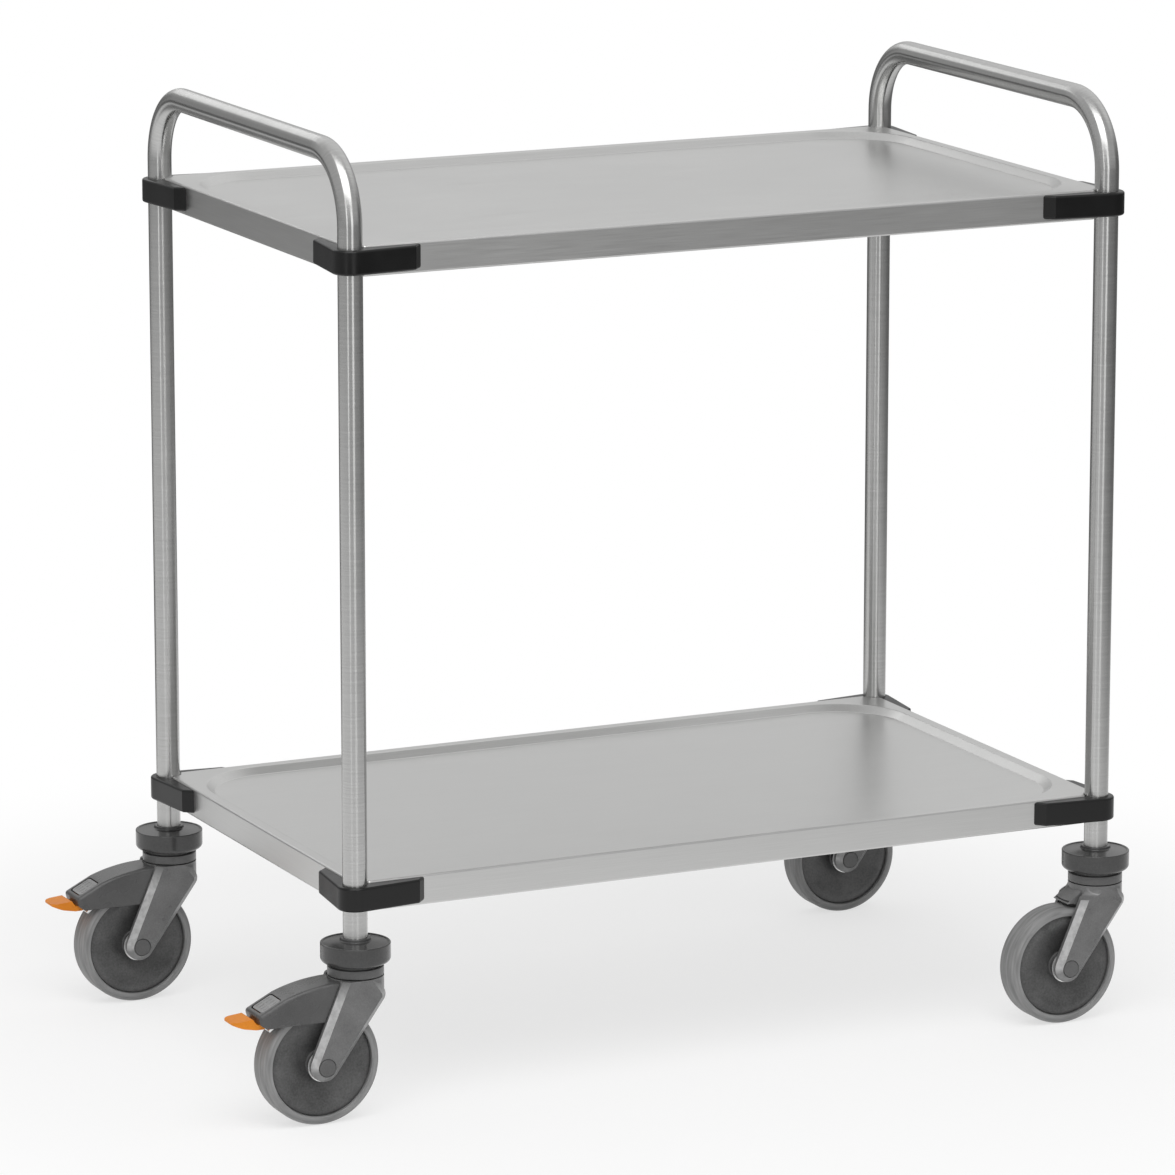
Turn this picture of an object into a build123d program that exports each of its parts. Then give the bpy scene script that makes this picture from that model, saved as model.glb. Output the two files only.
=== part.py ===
"""Two-shelf serving trolley in stainless steel, on four swivel castors.

Each end is one bent tube: two posts and the push handle between them. Two pressed shelves nest
against the posts with a round notch at each corner, and a moulded cap outside every corner clamps
the post to the shelf. The castors plug into the posts. The two at the left have foot brakes.

Millimetres, +Z up, X along the length, the floor at z = 0. The origin is the middle of the overall
box on the floor, so the shelves stand a little to the right of it: the brake pedals reach further
than the bumper discs do.
"""

import os
from math import hypot

from build123d import *

# Shelves, pressed from sheet
SHELF_LENGTH = 850.0
SHELF_WIDTH = 500.0
SHEET = 1.2
SKIRT_HEIGHT = 31.0
SKIRT_FLANGE = 11.0
SKIRT_BEND = 2.0
RIM_WIDTH = 15.0
WELL_DEPTH = 7.0
WELL_WALL_RUN = 4.0
WELL_CORNER = 85.0
WELL_BEND = 3.0
UPPER_SHELF_TOP = 882.5
LOWER_SHELF_TOP = 241.5

# End frames, bent from round tube
TUBE_DIAMETER = 25.0
TUBE_WALL = 1.5
POST_INSET = 1.0
HANDLE_RISE = 88.0
HANDLE_BEND = 70.0

# Corner caps
NOTCH_GAP = 0.4
NOTCH_EDGE = 4.0
CAP_GAP = 0.1
CAP_WALL = 6.0
CAP_HEIGHT = 24.7
CAP_DROP = 1.8
CAP_REACH = 75.0
CAP_END_PROUD = 10.0
CAP_END_CHAMFER = 9.0
CAP_EDGE = 2.4
CAP_SHELL = 2.6
CAP_BOSS = 5.0
SCREW_REACH = 46.0
SCREW_RADIUS = 2.0
SCREW_DEPTH = 7.0
SCREW_HEAD_RADIUS = 4.0
SCREW_HEAD_HEIGHT = 2.4
SCREW_GAP = 0.2

# Fits
RUNNING_GAP = 0.05
PRESS_GAP = 0.02

# Castor stack, from the floor up
WHEEL_DIAMETER = 125.0
WHEEL_TRAIL = 43.5
WHEEL_ROOM = 3.0
HEAD_HEIGHT = 19.5
HEAD_RADIUS = 28.5
RING_GAP = 1.0
RING_HEIGHT = 9.0
NECK_HEIGHT = 3.5
NECK_STEP = 3.5
BUMPER_RADIUS = 35.5
BUMPER_HEIGHT = 22.0
BUMPER_CROWN = 2.5
BUMPER_EDGE = 3.5
COLLAR_WALL = 3.0
COLLAR_HEIGHT = 3.0
TUBE_SEAT = 12.0
STEM_RADIUS = 6.0
STEM_REACH = 57.0
STEM_HEAD_RADIUS = 11.0
STEM_HEAD_HEIGHT = 4.0
EXPANDER_HEIGHT = 46.0
BALL_RADIUS = 3.5
BALL_COUNT = 8
BALL_PITCH_RADIUS = 19.0

# Wheel
TREAD_WIDTH = 32.0
TREAD_THICKNESS = 9.0
TREAD_EDGE = 4.0
CORE_SHY = 0.8
CORE_DISH = 2.2
CORE_LAND = 3.5
HUB_RADIUS = 15.0
BUSH_RADIUS = 9.0
AXLE_RADIUS = 5.0
AXLE_HEAD_RADIUS = 8.8
AXLE_HEAD_DEPTH = 2.0
AXLE_HEAD_PROUD = 1.0
AXLE_HEAD_GAP = 0.6
WASHER_RADIUS = 16.6
WASHER_THICKNESS = 1.4
WASHER_GAP = 0.1

# Fork
ARM_ROOM = 2.5
ARM_THICKNESS = 10.3
ARM_BEVEL = 6.0
ARM_END_RADIUS = 15.5
SHOULDER_X = 12.5
SHOULDER_RISE = 2.5
SHOULDER_RADIUS = 10.0
ARM_TOP_BACK = -24.0
ARM_TOP_FRONT = 13.0
LIP_BACK = -41.0
LIP_ROOM = 2.4
LIP_DROP = 5.5
LIP_END_HEIGHT = 4.5
LIP_RISE = 1.0
LIP_WALL = 1.6
LIP_POCKET_DEPTH = 10.0

# Foot brake, with X from the swivel axis and Z from the top of the fork's head
HOUSING_ROOM = 1.4
HOUSING_WALL = 2.6
HOUSING_EDGE = 4.0
HOUSING_NOSE = 4.0
HOUSING_START = (-28.5, -1.5)
HOUSING_CREST = (-57.0, -4.6)
HOUSING_BROW = (-84.0, -12.2)
HOUSING_TIP = (-113.0, -26.9)
HOUSING_LIP = (-110.8, -35.3)
HOUSING_CHIN = (-104.5, -40.0)
HOUSING_GAP = 0.3
PIN_DEPTH = 7.5
PIN_RADIUS = 2.5
PIN_COVER = 1.2
PEDAL_TRAVEL = 14.0
PEDAL_REACH = 139.0
PEDAL_ROOM = 2.9
PEDAL_KNEE = (-106.3, -38.3)
PEDAL_KNEE_RADIUS = 2.6
TOE_LENGTH = 22.0
TOE_CREST = -29.6
TOE_TIP = -31.7
TOE_TIP_THICKNESS = 2.2
TOE_BELLY = (-127.0, -38.3)
TOE_NECK = -113.3
TOE_EDGE = 1.5
TOE_CORNER = 9.0
SHOE_ANGLE = 138.0
SHOE_LENGTH = 9.0
SHOE_THICKNESS = 2.5
SHOE_SIDE_ROOM = 2.5
SHOE_CLEARANCE = 0.5
PAD_LENGTH = 23.0
PAD_SIDE_ROOM = 1.5
PAD_THICKNESS = 2.2
PAD_RECESS = 0.5
PAD_GAP = 0.8
PAD_SWING_ROOM = 1.5
PAD_CORNER = 3.5
PAD_FROM_BROW = 14.5

# Worked out from the sizes above
TUBE_RADIUS = TUBE_DIAMETER / 2
TUBE_BORE = TUBE_RADIUS - TUBE_WALL
CENTRE_X = (PEDAL_REACH - BUMPER_RADIUS) / 2
POST_X = SHELF_LENGTH / 2 - POST_INSET
POST_Y = SHELF_WIDTH / 2 - POST_INSET
HANDLE_HEIGHT = UPPER_SHELF_TOP + HANDLE_RISE
CAP_RADIUS = TUBE_RADIUS + CAP_WALL
SCREW_DROP = CAP_DROP + CAP_HEIGHT / 2
WHEEL_RADIUS = WHEEL_DIAMETER / 2
HEAD_BOTTOM = WHEEL_DIAMETER + WHEEL_ROOM
HEAD_TOP = HEAD_BOTTOM + HEAD_HEIGHT
RING_BOTTOM = HEAD_TOP + RING_GAP
RING_TOP = RING_BOTTOM + RING_HEIGHT
BUMPER_BOTTOM = RING_TOP + NECK_HEIGHT
BUMPER_TOP = BUMPER_BOTTOM + BUMPER_HEIGHT
COLLAR_TOP = BUMPER_TOP + COLLAR_HEIGHT
TUBE_FOOT = BUMPER_TOP - TUBE_SEAT
BALL_HEIGHT = HEAD_TOP + RING_GAP / 2
CORE_RADIUS = WHEEL_RADIUS - TREAD_THICKNESS
CORE_HALF_WIDTH = TREAD_WIDTH / 2 - CORE_SHY
ARM_INSIDE = TREAD_WIDTH / 2 + ARM_ROOM
ARM_OUTSIDE = ARM_INSIDE + ARM_THICKNESS
HUB_HALF_WIDTH = ARM_INSIDE - WASHER_THICKNESS - WASHER_GAP
HOUSING_INSIDE = TREAD_WIDTH / 2 + HOUSING_ROOM
HOUSING_OUTSIDE = HOUSING_INSIDE + HOUSING_WALL
PEDAL_HALF_WIDTH = HOUSING_INSIDE - PEDAL_ROOM
PEDAL_BARREL = PIN_DEPTH - PAD_RECESS - PAD_THICKNESS
PAD_HALF_WIDTH = PEDAL_HALF_WIDTH - PAD_SIDE_ROOM
SHOE_HALF_WIDTH = PEDAL_HALF_WIDTH - SHOE_SIDE_ROOM
ENDS = {"left": -1, "right": 1}
SIDES = {"front": -1, "back": 1}
CORNERS = {f"{side}_{end}": (ENDS[end], SIDES[side]) for side in SIDES for end in ENDS}
BRAKED = ("front_left", "back_left")


def near(sketch, point):
    """The corner of a sketch that lies nearest to a point."""
    return sketch.vertices().sort_by_distance((*point, 0))[0]


def outline(points, rounding=None):
    """A closed flat outline of straight runs, with the listed corners rounded."""
    shape = make_face(Polyline(*points, close=True))
    for index, radius in (rounding or {}).items():
        shape = fillet(near(shape, points[index]), radius)
    return shape


def turned(points, rounding=None):
    """A body of revolution about Z from an outline of (radius, height) points."""
    return revolve(Plane.XZ * outline(points, rounding), Axis.Z, 360)


def across(shape, half_width):
    """A side view, drawn with X and Z, made solid to the same width on both sides."""
    return extrude(Plane.XZ * shape, half_width, both=True)


def rod(radius, low, high):
    """A round bar on Z between two heights."""
    return Pos(0, 0, low) * Cylinder(radius, high - low, align=(Align.CENTER, Align.CENTER, Align.MIN))


def on_axle(shape):
    """Turns a shape made about Z onto the wheel's axle."""
    return Pos(-WHEEL_TRAIL, 0, WHEEL_RADIUS) * Rot(90, 0, 0) * shape


def shelf_plan(inset=0.0):
    """The plan of a shelf, drawn in from its skirt, with a round notch for each post."""
    plan = Rectangle(SHELF_LENGTH - 2 * inset, SHELF_WIDTH - 2 * inset)
    notch = Circle(TUBE_RADIUS + NOTCH_GAP + inset)
    for end, side in CORNERS.values():
        plan -= Pos(end * POST_X, side * POST_Y) * notch
    edge = NOTCH_EDGE - inset
    return fillet(plan.vertices(), edge) if edge > 0 else plan


def shelf_well(grow=0.0, deeper=0.0):
    """The pressed hollow of a shelf, or with a grown size its outside under the sheet."""
    depth = WELL_DEPTH + deeper
    run = WELL_WALL_RUN * depth / WELL_DEPTH
    length = SHELF_LENGTH - 2 * RIM_WIDTH + 2 * grow
    width = SHELF_WIDTH - 2 * RIM_WIDTH + 2 * grow
    corner = WELL_CORNER + grow
    mouth = RectangleRounded(length, width, corner)
    floor = RectangleRounded(length - 2 * run, width - 2 * run, corner - run)
    hollow = loft([mouth, Pos(0, 0, -depth) * floor])
    return fillet(hollow.edges().group_by(Axis.Z)[0], WELL_BEND + deeper)


def shelf():
    """One shelf with its rim at z = 0: rim, well, skirt, and a flange turned in below the skirt."""
    skin = extrude(shelf_plan(), -SKIRT_HEIGHT)
    skin = fillet(skin.edges().group_by(Axis.Z)[-1], SKIRT_BEND)
    inside = extrude(Pos(0, 0, -SHEET) * shelf_plan(SHEET), -(SKIRT_HEIGHT - 2 * SHEET))
    mouth = extrude(Pos(0, 0, -SKIRT_HEIGHT) * shelf_plan(SHEET + SKIRT_FLANGE), 2 * SHEET)
    grow = SHEET * hypot(WELL_DEPTH, WELL_WALL_RUN) / WELL_DEPTH
    tray = skin - shelf_well() - (inside + mouth - shelf_well(grow, SHEET))
    hole = Cylinder(SCREW_RADIUS + SCREW_GAP, 4 * SHEET)
    for place in screw_places():
        tray -= place * hole
    return tray


def screw_places():
    """Where the cap screws pass the skirt, each pointing out of the shelf, rim at z = 0."""
    places = []
    for end, side in CORNERS.values():
        along_x = Pos(end * (POST_X - SCREW_REACH), side * SHELF_WIDTH / 2, -SCREW_DROP)
        along_y = Pos(end * SHELF_LENGTH / 2, side * (POST_Y - SCREW_REACH), -SCREW_DROP)
        places.append(along_x * Rot(-side * 90, 0, 0))
        places.append(along_y * Rot(0, end * 90, 0))
    return places


def cap_screw():
    """A cap screw on Z, with the skirt's outer face at z = 0 and its head inside the skirt."""
    head = rod(SCREW_HEAD_RADIUS, -SHEET - SCREW_HEAD_HEIGHT, -SHEET)
    head = fillet(head.edges().group_by(Axis.Z)[0], SCREW_HEAD_HEIGHT / 2)
    return head + rod(SCREW_RADIUS, -SHEET, SCREW_DEPTH)


def corner_cap(end, side):
    """The cap outside one shelf corner, about the post's axis, with its top at z = 0."""
    toe, heel = CAP_REACH + CAP_END_CHAMFER, CAP_REACH - CAP_END_CHAMFER
    buried, proud = POST_INSET - CAP_END_PROUD, POST_INSET + CAP_END_PROUD
    along_x = Line((-toe, buried), (-heel, proud))
    along_y = Line((buried, -toe), (proud, -heel))
    plan = make_hull([Circle(CAP_RADIUS).edge(), along_x, along_y])
    cap = extrude(plan, -CAP_HEIGHT)
    cap = fillet(cap.edges().group_by(Axis.Z)[-1] + cap.edges().group_by(Axis.Z)[0], CAP_EDGE)
    corner = Pos(POST_INSET, POST_INSET) * Rectangle(
        SHELF_LENGTH, SHELF_WIDTH, align=(Align.MAX, Align.MAX)
    )
    cap -= extrude(corner, CAP_HEIGHT, both=True)
    cap -= extrude(Circle(TUBE_RADIUS + CAP_GAP), CAP_HEIGHT, both=True)
    core = offset(plan - corner - Circle(TUBE_RADIUS + CAP_GAP), -CAP_SHELL)
    core -= Pos(-SCREW_REACH, 0) * Rectangle(2 * CAP_BOSS, 2 * CAP_REACH)
    core -= Pos(0, -SCREW_REACH) * Rectangle(2 * CAP_REACH, 2 * CAP_BOSS)
    cap -= extrude(Pos(0, 0, -CAP_HEIGHT) * core, CAP_HEIGHT - CAP_SHELL)
    pilot = Cylinder(SCREW_RADIUS + PRESS_GAP, 2 * SCREW_DEPTH)
    cap -= Pos(-SCREW_REACH, POST_INSET, -CAP_HEIGHT / 2) * Rot(90, 0, 0) * pilot
    cap -= Pos(POST_INSET, -SCREW_REACH, -CAP_HEIGHT / 2) * Rot(0, 90, 0) * pilot
    if end < 0:
        cap = mirror(cap, Plane.YZ)
    if side < 0:
        cap = mirror(cap, Plane.XZ)
    return cap


def end_frame(end):
    """One tube: up the front post, over as the push handle and down the back post."""
    x = end * POST_X
    path = FilletPolyline(
        (x, -POST_Y, TUBE_FOOT),
        (x, -POST_Y, HANDLE_HEIGHT),
        (x, POST_Y, HANDLE_HEIGHT),
        (x, POST_Y, TUBE_FOOT),
        radius=HANDLE_BEND,
    )
    section = Circle(TUBE_RADIUS) - Circle(TUBE_BORE)
    return sweep(Plane(path @ 0, z_dir=path % 0) * section, path)


def castor_stem():
    """The pin that the fork turns on: a head under the fork and a shank up into the post."""
    low = HEAD_BOTTOM - RUNNING_GAP
    head = rod(STEM_HEAD_RADIUS, low, low + STEM_HEAD_HEIGHT)
    return head + rod(STEM_RADIUS, low, TUBE_FOOT + STEM_REACH)


def stem_expander():
    """The sleeve that grips inside the post round the stem."""
    sleeve = rod(TUBE_BORE - RUNNING_GAP, TUBE_FOOT, TUBE_FOOT + EXPANDER_HEIGHT)
    return sleeve - rod(STEM_RADIUS + PRESS_GAP, TUBE_FOOT, TUBE_FOOT + EXPANDER_HEIGHT)


def bumper_disc():
    """The round bumper under the post, with a collar that the tube stands in."""
    collar = TUBE_RADIUS + COLLAR_WALL
    seat = TUBE_RADIUS + CAP_GAP
    points = [
        (STEM_RADIUS + RUNNING_GAP, BUMPER_BOTTOM),
        (BUMPER_RADIUS - BUMPER_EDGE, BUMPER_BOTTOM),
        (BUMPER_RADIUS, BUMPER_BOTTOM + BUMPER_EDGE),
        (BUMPER_RADIUS, BUMPER_TOP - BUMPER_CROWN),
        (collar, BUMPER_TOP),
        (collar, COLLAR_TOP),
        (seat, COLLAR_TOP),
        (seat, TUBE_FOOT),
        (STEM_RADIUS + RUNNING_GAP, TUBE_FOOT),
    ]
    return turned(points, {1: BUMPER_EDGE, 2: BUMPER_EDGE, 3: BUMPER_EDGE})


def ball_race():
    """The round groove that the balls run in, shared by the ring and the fork."""
    return Pos(0, 0, BALL_HEIGHT) * Torus(BALL_PITCH_RADIUS, BALL_RADIUS + RUNNING_GAP)


def swivel_ring():
    """The fixed upper half of the swivel bearing, with a narrow neck under the bumper."""
    points = [
        (STEM_RADIUS + PRESS_GAP, RING_BOTTOM),
        (HEAD_RADIUS, RING_BOTTOM),
        (HEAD_RADIUS, RING_TOP),
        (HEAD_RADIUS - NECK_STEP, RING_TOP),
        (HEAD_RADIUS - NECK_STEP, BUMPER_BOTTOM),
        (STEM_RADIUS + PRESS_GAP, BUMPER_BOTTOM),
    ]
    return turned(points) - ball_race()


def swivel_balls():
    """The balls of one swivel bearing."""
    return [
        place * Sphere(BALL_RADIUS)
        for place in Pos(0, 0, BALL_HEIGHT) * PolarLocations(BALL_PITCH_RADIUS, BALL_COUNT)
    ]


def fork_arm_view():
    """The side view of a fork arm, from the shoulder under the head down to the axle."""
    axle_end = Pos(-WHEEL_TRAIL, WHEEL_RADIUS) * Circle(ARM_END_RADIUS)
    shoulder = Pos(SHOULDER_X, HEAD_BOTTOM + SHOULDER_RISE) * Circle(SHOULDER_RADIUS)
    crown = Line((ARM_TOP_BACK, HEAD_TOP), (ARM_TOP_FRONT, HEAD_TOP))
    return make_hull([axle_end.edge(), shoulder.edge(), crown])


def castor_fork():
    """The fork: a round head, two bevelled arms that slant back to the axle, and a rear lip."""
    arm = extrude(Plane.XZ.offset(ARM_INSIDE) * fork_arm_view(), ARM_THICKNESS)
    rim = arm.faces().sort_by(Axis.Y)[0].edges().sort_by(Axis.Z)
    arm = chamfer(rim[:-1], ARM_BEVEL)
    recess = rod(AXLE_HEAD_RADIUS + AXLE_HEAD_GAP, ARM_OUTSIDE - AXLE_HEAD_DEPTH, 2 * ARM_OUTSIDE)
    arm -= on_axle(recess)
    lip_bottom = HEAD_BOTTOM + LIP_RISE
    lip_top = HEAD_TOP - LIP_DROP
    lip_view = outline(
        [
            (0, lip_bottom),
            (LIP_BACK, lip_bottom),
            (LIP_BACK, lip_bottom + LIP_END_HEIGHT),
            (-HEAD_RADIUS, lip_top),
            (0, lip_top),
        ]
    )
    lip_half_width = HOUSING_INSIDE - LIP_ROOM
    lip = across(lip_view, lip_half_width)
    lip -= Pos(LIP_BACK, 0, lip_bottom + LIP_END_HEIGHT / 2) * Box(
        2 * LIP_POCKET_DEPTH, 2 * (lip_half_width - LIP_WALL), LIP_END_HEIGHT - 2 * LIP_WALL
    )
    fork = rod(HEAD_RADIUS, HEAD_BOTTOM, HEAD_TOP) + lip + arm + mirror(arm, Plane.XZ)
    fork -= rod(STEM_RADIUS + RUNNING_GAP, 0, HEAD_TOP)
    fork -= rod(STEM_HEAD_RADIUS + NOTCH_GAP, 0, HEAD_BOTTOM + STEM_HEAD_HEIGHT)
    fork -= on_axle(rod(AXLE_RADIUS + PRESS_GAP, -ARM_OUTSIDE, ARM_OUTSIDE))
    return fork - ball_race()


def axle():
    """The axle, with a flat round head let into each arm."""
    seat = ARM_OUTSIDE - AXLE_HEAD_DEPTH
    shaft = rod(AXLE_RADIUS, -seat, seat)
    head = rod(AXLE_HEAD_RADIUS, seat, ARM_OUTSIDE + AXLE_HEAD_PROUD)
    head = fillet(head.edges().group_by(Axis.Z)[-1], AXLE_HEAD_PROUD)
    return on_axle(shaft + head + mirror(head, Plane.XY))


def hub_washers():
    """The two bright washers between the hub and the arms."""
    washer = rod(WASHER_RADIUS, HUB_HALF_WIDTH + WASHER_GAP, ARM_INSIDE)
    washer -= rod(AXLE_RADIUS + RUNNING_GAP, 0, ARM_INSIDE)
    return [on_axle(washer), on_axle(mirror(washer, Plane.XY))]


def wheel_bush():
    """The bush pressed into the wheel, which turns on the axle."""
    bush = rod(BUSH_RADIUS, -HUB_HALF_WIDTH, HUB_HALF_WIDTH)
    return on_axle(bush - rod(AXLE_RADIUS + RUNNING_GAP, -HUB_HALF_WIDTH, HUB_HALF_WIDTH))


def wheel_core():
    """The wheel's disc, dished a little between the rim land and the hub."""
    bore = BUSH_RADIUS + PRESS_GAP
    dish = CORE_HALF_WIDTH - CORE_DISH
    half = [
        (bore, HUB_HALF_WIDTH),
        (HUB_RADIUS, HUB_HALF_WIDTH),
        (HUB_RADIUS + CORE_DISH, dish),
        (CORE_RADIUS - CORE_LAND - CORE_DISH, CORE_HALF_WIDTH - CORE_DISH / 4),
        (CORE_RADIUS - CORE_LAND, CORE_HALF_WIDTH),
        (CORE_RADIUS, CORE_HALF_WIDTH),
    ]
    return on_axle(turned(half + [(r, -z) for r, z in reversed(half)]))


def wheel_tread():
    """The soft tread bonded round the core."""
    half = TREAD_WIDTH / 2
    inner = CORE_RADIUS + PRESS_GAP
    points = [(inner, half), (WHEEL_RADIUS, half), (WHEEL_RADIUS, -half), (inner, -half)]
    return on_axle(turned(points, {1: TREAD_EDGE, 2: TREAD_EDGE}))


def below_head(point):
    """A place of the foot brake, given from the top of the fork's head, as a height from the floor."""
    x, z = point
    return x, HEAD_TOP + z


def housing_view():
    """The side view of the brake housing: an arch back from the head, then a straight nose."""
    start, crest, brow, tip, lip, chin = map(
        below_head,
        (HOUSING_START, HOUSING_CREST, HOUSING_BROW, HOUSING_TIP, HOUSING_LIP, HOUSING_CHIN),
    )
    arch = ThreePointArc(start, crest, brow)
    rest = Polyline(brow, tip, lip, chin, (0, chin[1]), (0, start[1]), start)
    view = make_face([arch, rest])
    return fillet(near(view, tip), HOUSING_NOSE)


def housing_hollow():
    """The side view of the room inside the housing, open below the nose for the pedal."""
    x, z = below_head(HOUSING_LIP)
    mouth = Pos(2 * x, 0) * Rectangle(-2 * x, z, align=Align.MIN)
    behind_lip = Pos(x + HOUSING_WALL, z) * Rectangle(-x, 2 * HOUSING_WALL, align=Align.MIN)
    return offset(housing_view(), -HOUSING_WALL) + mouth + behind_lip


def nose_plane():
    """The plane of the sloping nose at the middle of the release pad: X up the slope, Z out of it."""
    (brow_x, brow_z), (tip_x, tip_z) = map(below_head, (HOUSING_BROW, HOUSING_TIP))
    slope = Vector(brow_x - tip_x, 0, brow_z - tip_z).normalized()
    middle = Vector(brow_x, 0, brow_z) - slope * PAD_FROM_BROW
    return Plane(middle, x_dir=slope, z_dir=slope.cross(Vector(0, 1, 0)))


def pin_axis():
    """The line that the pedal swings on, under the middle of the pad. It turns the toe down."""
    plane = nose_plane()
    return Axis(plane.origin - plane.z_dir * PIN_DEPTH, (0, -1, 0))


def on_pin(radius, half_width):
    """A round bar on the pedal's pin."""
    return Plane(pin_axis().position, z_dir=(0, 1, 0)) * Cylinder(radius, 2 * half_width)


def brake_housing():
    """The hood over the wheel: a hollow nose behind the fork, open below for wheel and pedal."""
    hood = across(housing_view(), HOUSING_OUTSIDE)
    side_edges = hood.faces().filter_by(Axis.Y).edges()
    lip_z = below_head(HOUSING_LIP)[1]
    top_edges = side_edges.filter_by(
        lambda edge: edge.center().X < -HEAD_RADIUS and edge.center().Z > lip_z + HOUSING_NOSE
    )
    hood = fillet(top_edges, HOUSING_EDGE)
    hood -= across(housing_hollow(), HOUSING_INSIDE)
    hood -= rod(HEAD_RADIUS + HOUSING_GAP, 0, HEAD_TOP)
    arm_room = offset(fork_arm_view(), HOUSING_GAP)
    arm_room = extrude(Plane.XZ.offset(ARM_INSIDE - HOUSING_GAP) * arm_room, ARM_THICKNESS)
    hood -= arm_room
    hood -= mirror(arm_room, Plane.XZ)
    window = Pos((PAD_GAP - PAD_SWING_ROOM) / 2, 0) * RectangleRounded(
        PAD_LENGTH + PAD_GAP + PAD_SWING_ROOM, 2 * (PAD_HALF_WIDTH + PAD_GAP), PAD_CORNER
    )
    hood -= extrude(nose_plane() * window, PIN_DEPTH, both=True)
    return hood - on_pin(PIN_RADIUS + PRESS_GAP, HOUSING_OUTSIDE - PIN_COVER)


def pedal_pin():
    """The pin that the pedal swings on, with its ends in blind holes of the hood."""
    return on_pin(PIN_RADIUS, HOUSING_OUTSIDE - PIN_COVER)


def pad_plan(depth):
    """The outline of the release pad at a depth under the nose."""
    return nose_plane().offset(-depth) * RectangleRounded(PAD_LENGTH, 2 * PAD_HALF_WIDTH, PAD_CORNER)


def release_pad():
    """The pale pad in the window of the nose, which lifts the toe again when it is pressed."""
    return extrude(pad_plan(PAD_RECESS), -PAD_THICKNESS)


def arm_ends():
    """The pedal's arm in side view: the place of the barrel on the pin and of the knee below it."""
    pin = pin_axis().position
    return Vector(pin.X, pin.Z), Vector(*below_head(PEDAL_KNEE))


def shoe_leg(grow=0.0):
    """The side view of the shoe's leg, from its foot at rest up into the pedal's arm."""
    facing = Vector(1, 0, 0).rotate(Axis.Y, -SHOE_ANGLE)
    back = WHEEL_RADIUS + SHOE_CLEARANCE + SHOE_THICKNESS
    foot = Vector(-WHEEL_TRAIL, 0, WHEEL_RADIUS) + facing * back
    foot = (foot - pin_axis().position).rotate(pin_axis(), -PEDAL_TRAVEL) + pin_axis().position
    barrel, knee = arm_ends()
    ends = (Vector(foot.X, foot.Z), (barrel + knee) / 2)
    return make_hull([(Pos(*end) * Circle(SHOE_THICKNESS / 2 + grow)).edge() for end in ends])


def brake_shoe():
    """The steel shoe under the pedal: a curved foot, which the pedal presses on the tread, and a leg."""
    inner = WHEEL_RADIUS + SHOE_CLEARANCE
    outer = inner + SHOE_THICKNESS
    strip = Rectangle(outer, SHOE_LENGTH, align=(Align.MIN, Align.CENTER))
    ring = Circle(outer) - Circle(inner)
    foot = Pos(-WHEEL_TRAIL, WHEEL_RADIUS) * Rot(0, 0, SHOE_ANGLE) * (ring & strip)
    foot = across(foot, SHOE_HALF_WIDTH).rotate(pin_axis(), -PEDAL_TRAVEL)
    return foot + across(shoe_leg(), SHOE_HALF_WIDTH)


def toe_view():
    """The side view of the pedal's toe: a neck under the nose, a crest behind it and a thin tip."""
    knee_x, knee_z = below_head(PEDAL_KNEE)
    crest = (TOE_LENGTH - PEDAL_REACH, HEAD_TOP + TOE_CREST)
    tip = (-PEDAL_REACH, HEAD_TOP + TOE_TIP)
    under_tip = (TOE_EDGE / 2 - PEDAL_REACH, tip[1] - TOE_TIP_THICKNESS)
    neck_top = (TOE_NECK, knee_z + PEDAL_KNEE_RADIUS)
    points = [
        (knee_x, knee_z - PEDAL_KNEE_RADIUS),
        (TOE_NECK, knee_z - PEDAL_KNEE_RADIUS),
        below_head(TOE_BELLY),
        under_tip,
        tip,
        crest,
        neck_top,
        (knee_x, neck_top[1]),
    ]
    return outline(points, {2: TOE_LENGTH, 4: TOE_TIP_THICKNESS / 3, 5: TOE_EDGE, 6: TOE_EDGE})


def brake_pedal():
    """The pedal: a barrel on the pin, a bed under the pad, an arm down to the knee, and a toe."""
    barrel, knee = arm_ends()
    arm = make_hull(
        [(Pos(*barrel) * Circle(PEDAL_BARREL)).edge(), (Pos(*knee) * Circle(PEDAL_KNEE_RADIUS)).edge()]
    )
    pedal = across(arm + toe_view(), PEDAL_HALF_WIDTH)
    plan = Pos(-PEDAL_REACH, 0) * RectangleRounded(
        PEDAL_REACH, 2 * PEDAL_HALF_WIDTH, TOE_CORNER, align=(Align.MIN, Align.CENTER)
    )
    pedal &= extrude(plan, HEAD_TOP)
    pedal += extrude(pad_plan(PAD_RECESS + PAD_THICKNESS), -PEDAL_BARREL)
    pedal -= across(shoe_leg(PRESS_GAP), SHOE_HALF_WIDTH + PRESS_GAP)
    return pedal - on_pin(PIN_RADIUS + RUNNING_GAP, HOUSING_OUTSIDE)


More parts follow.
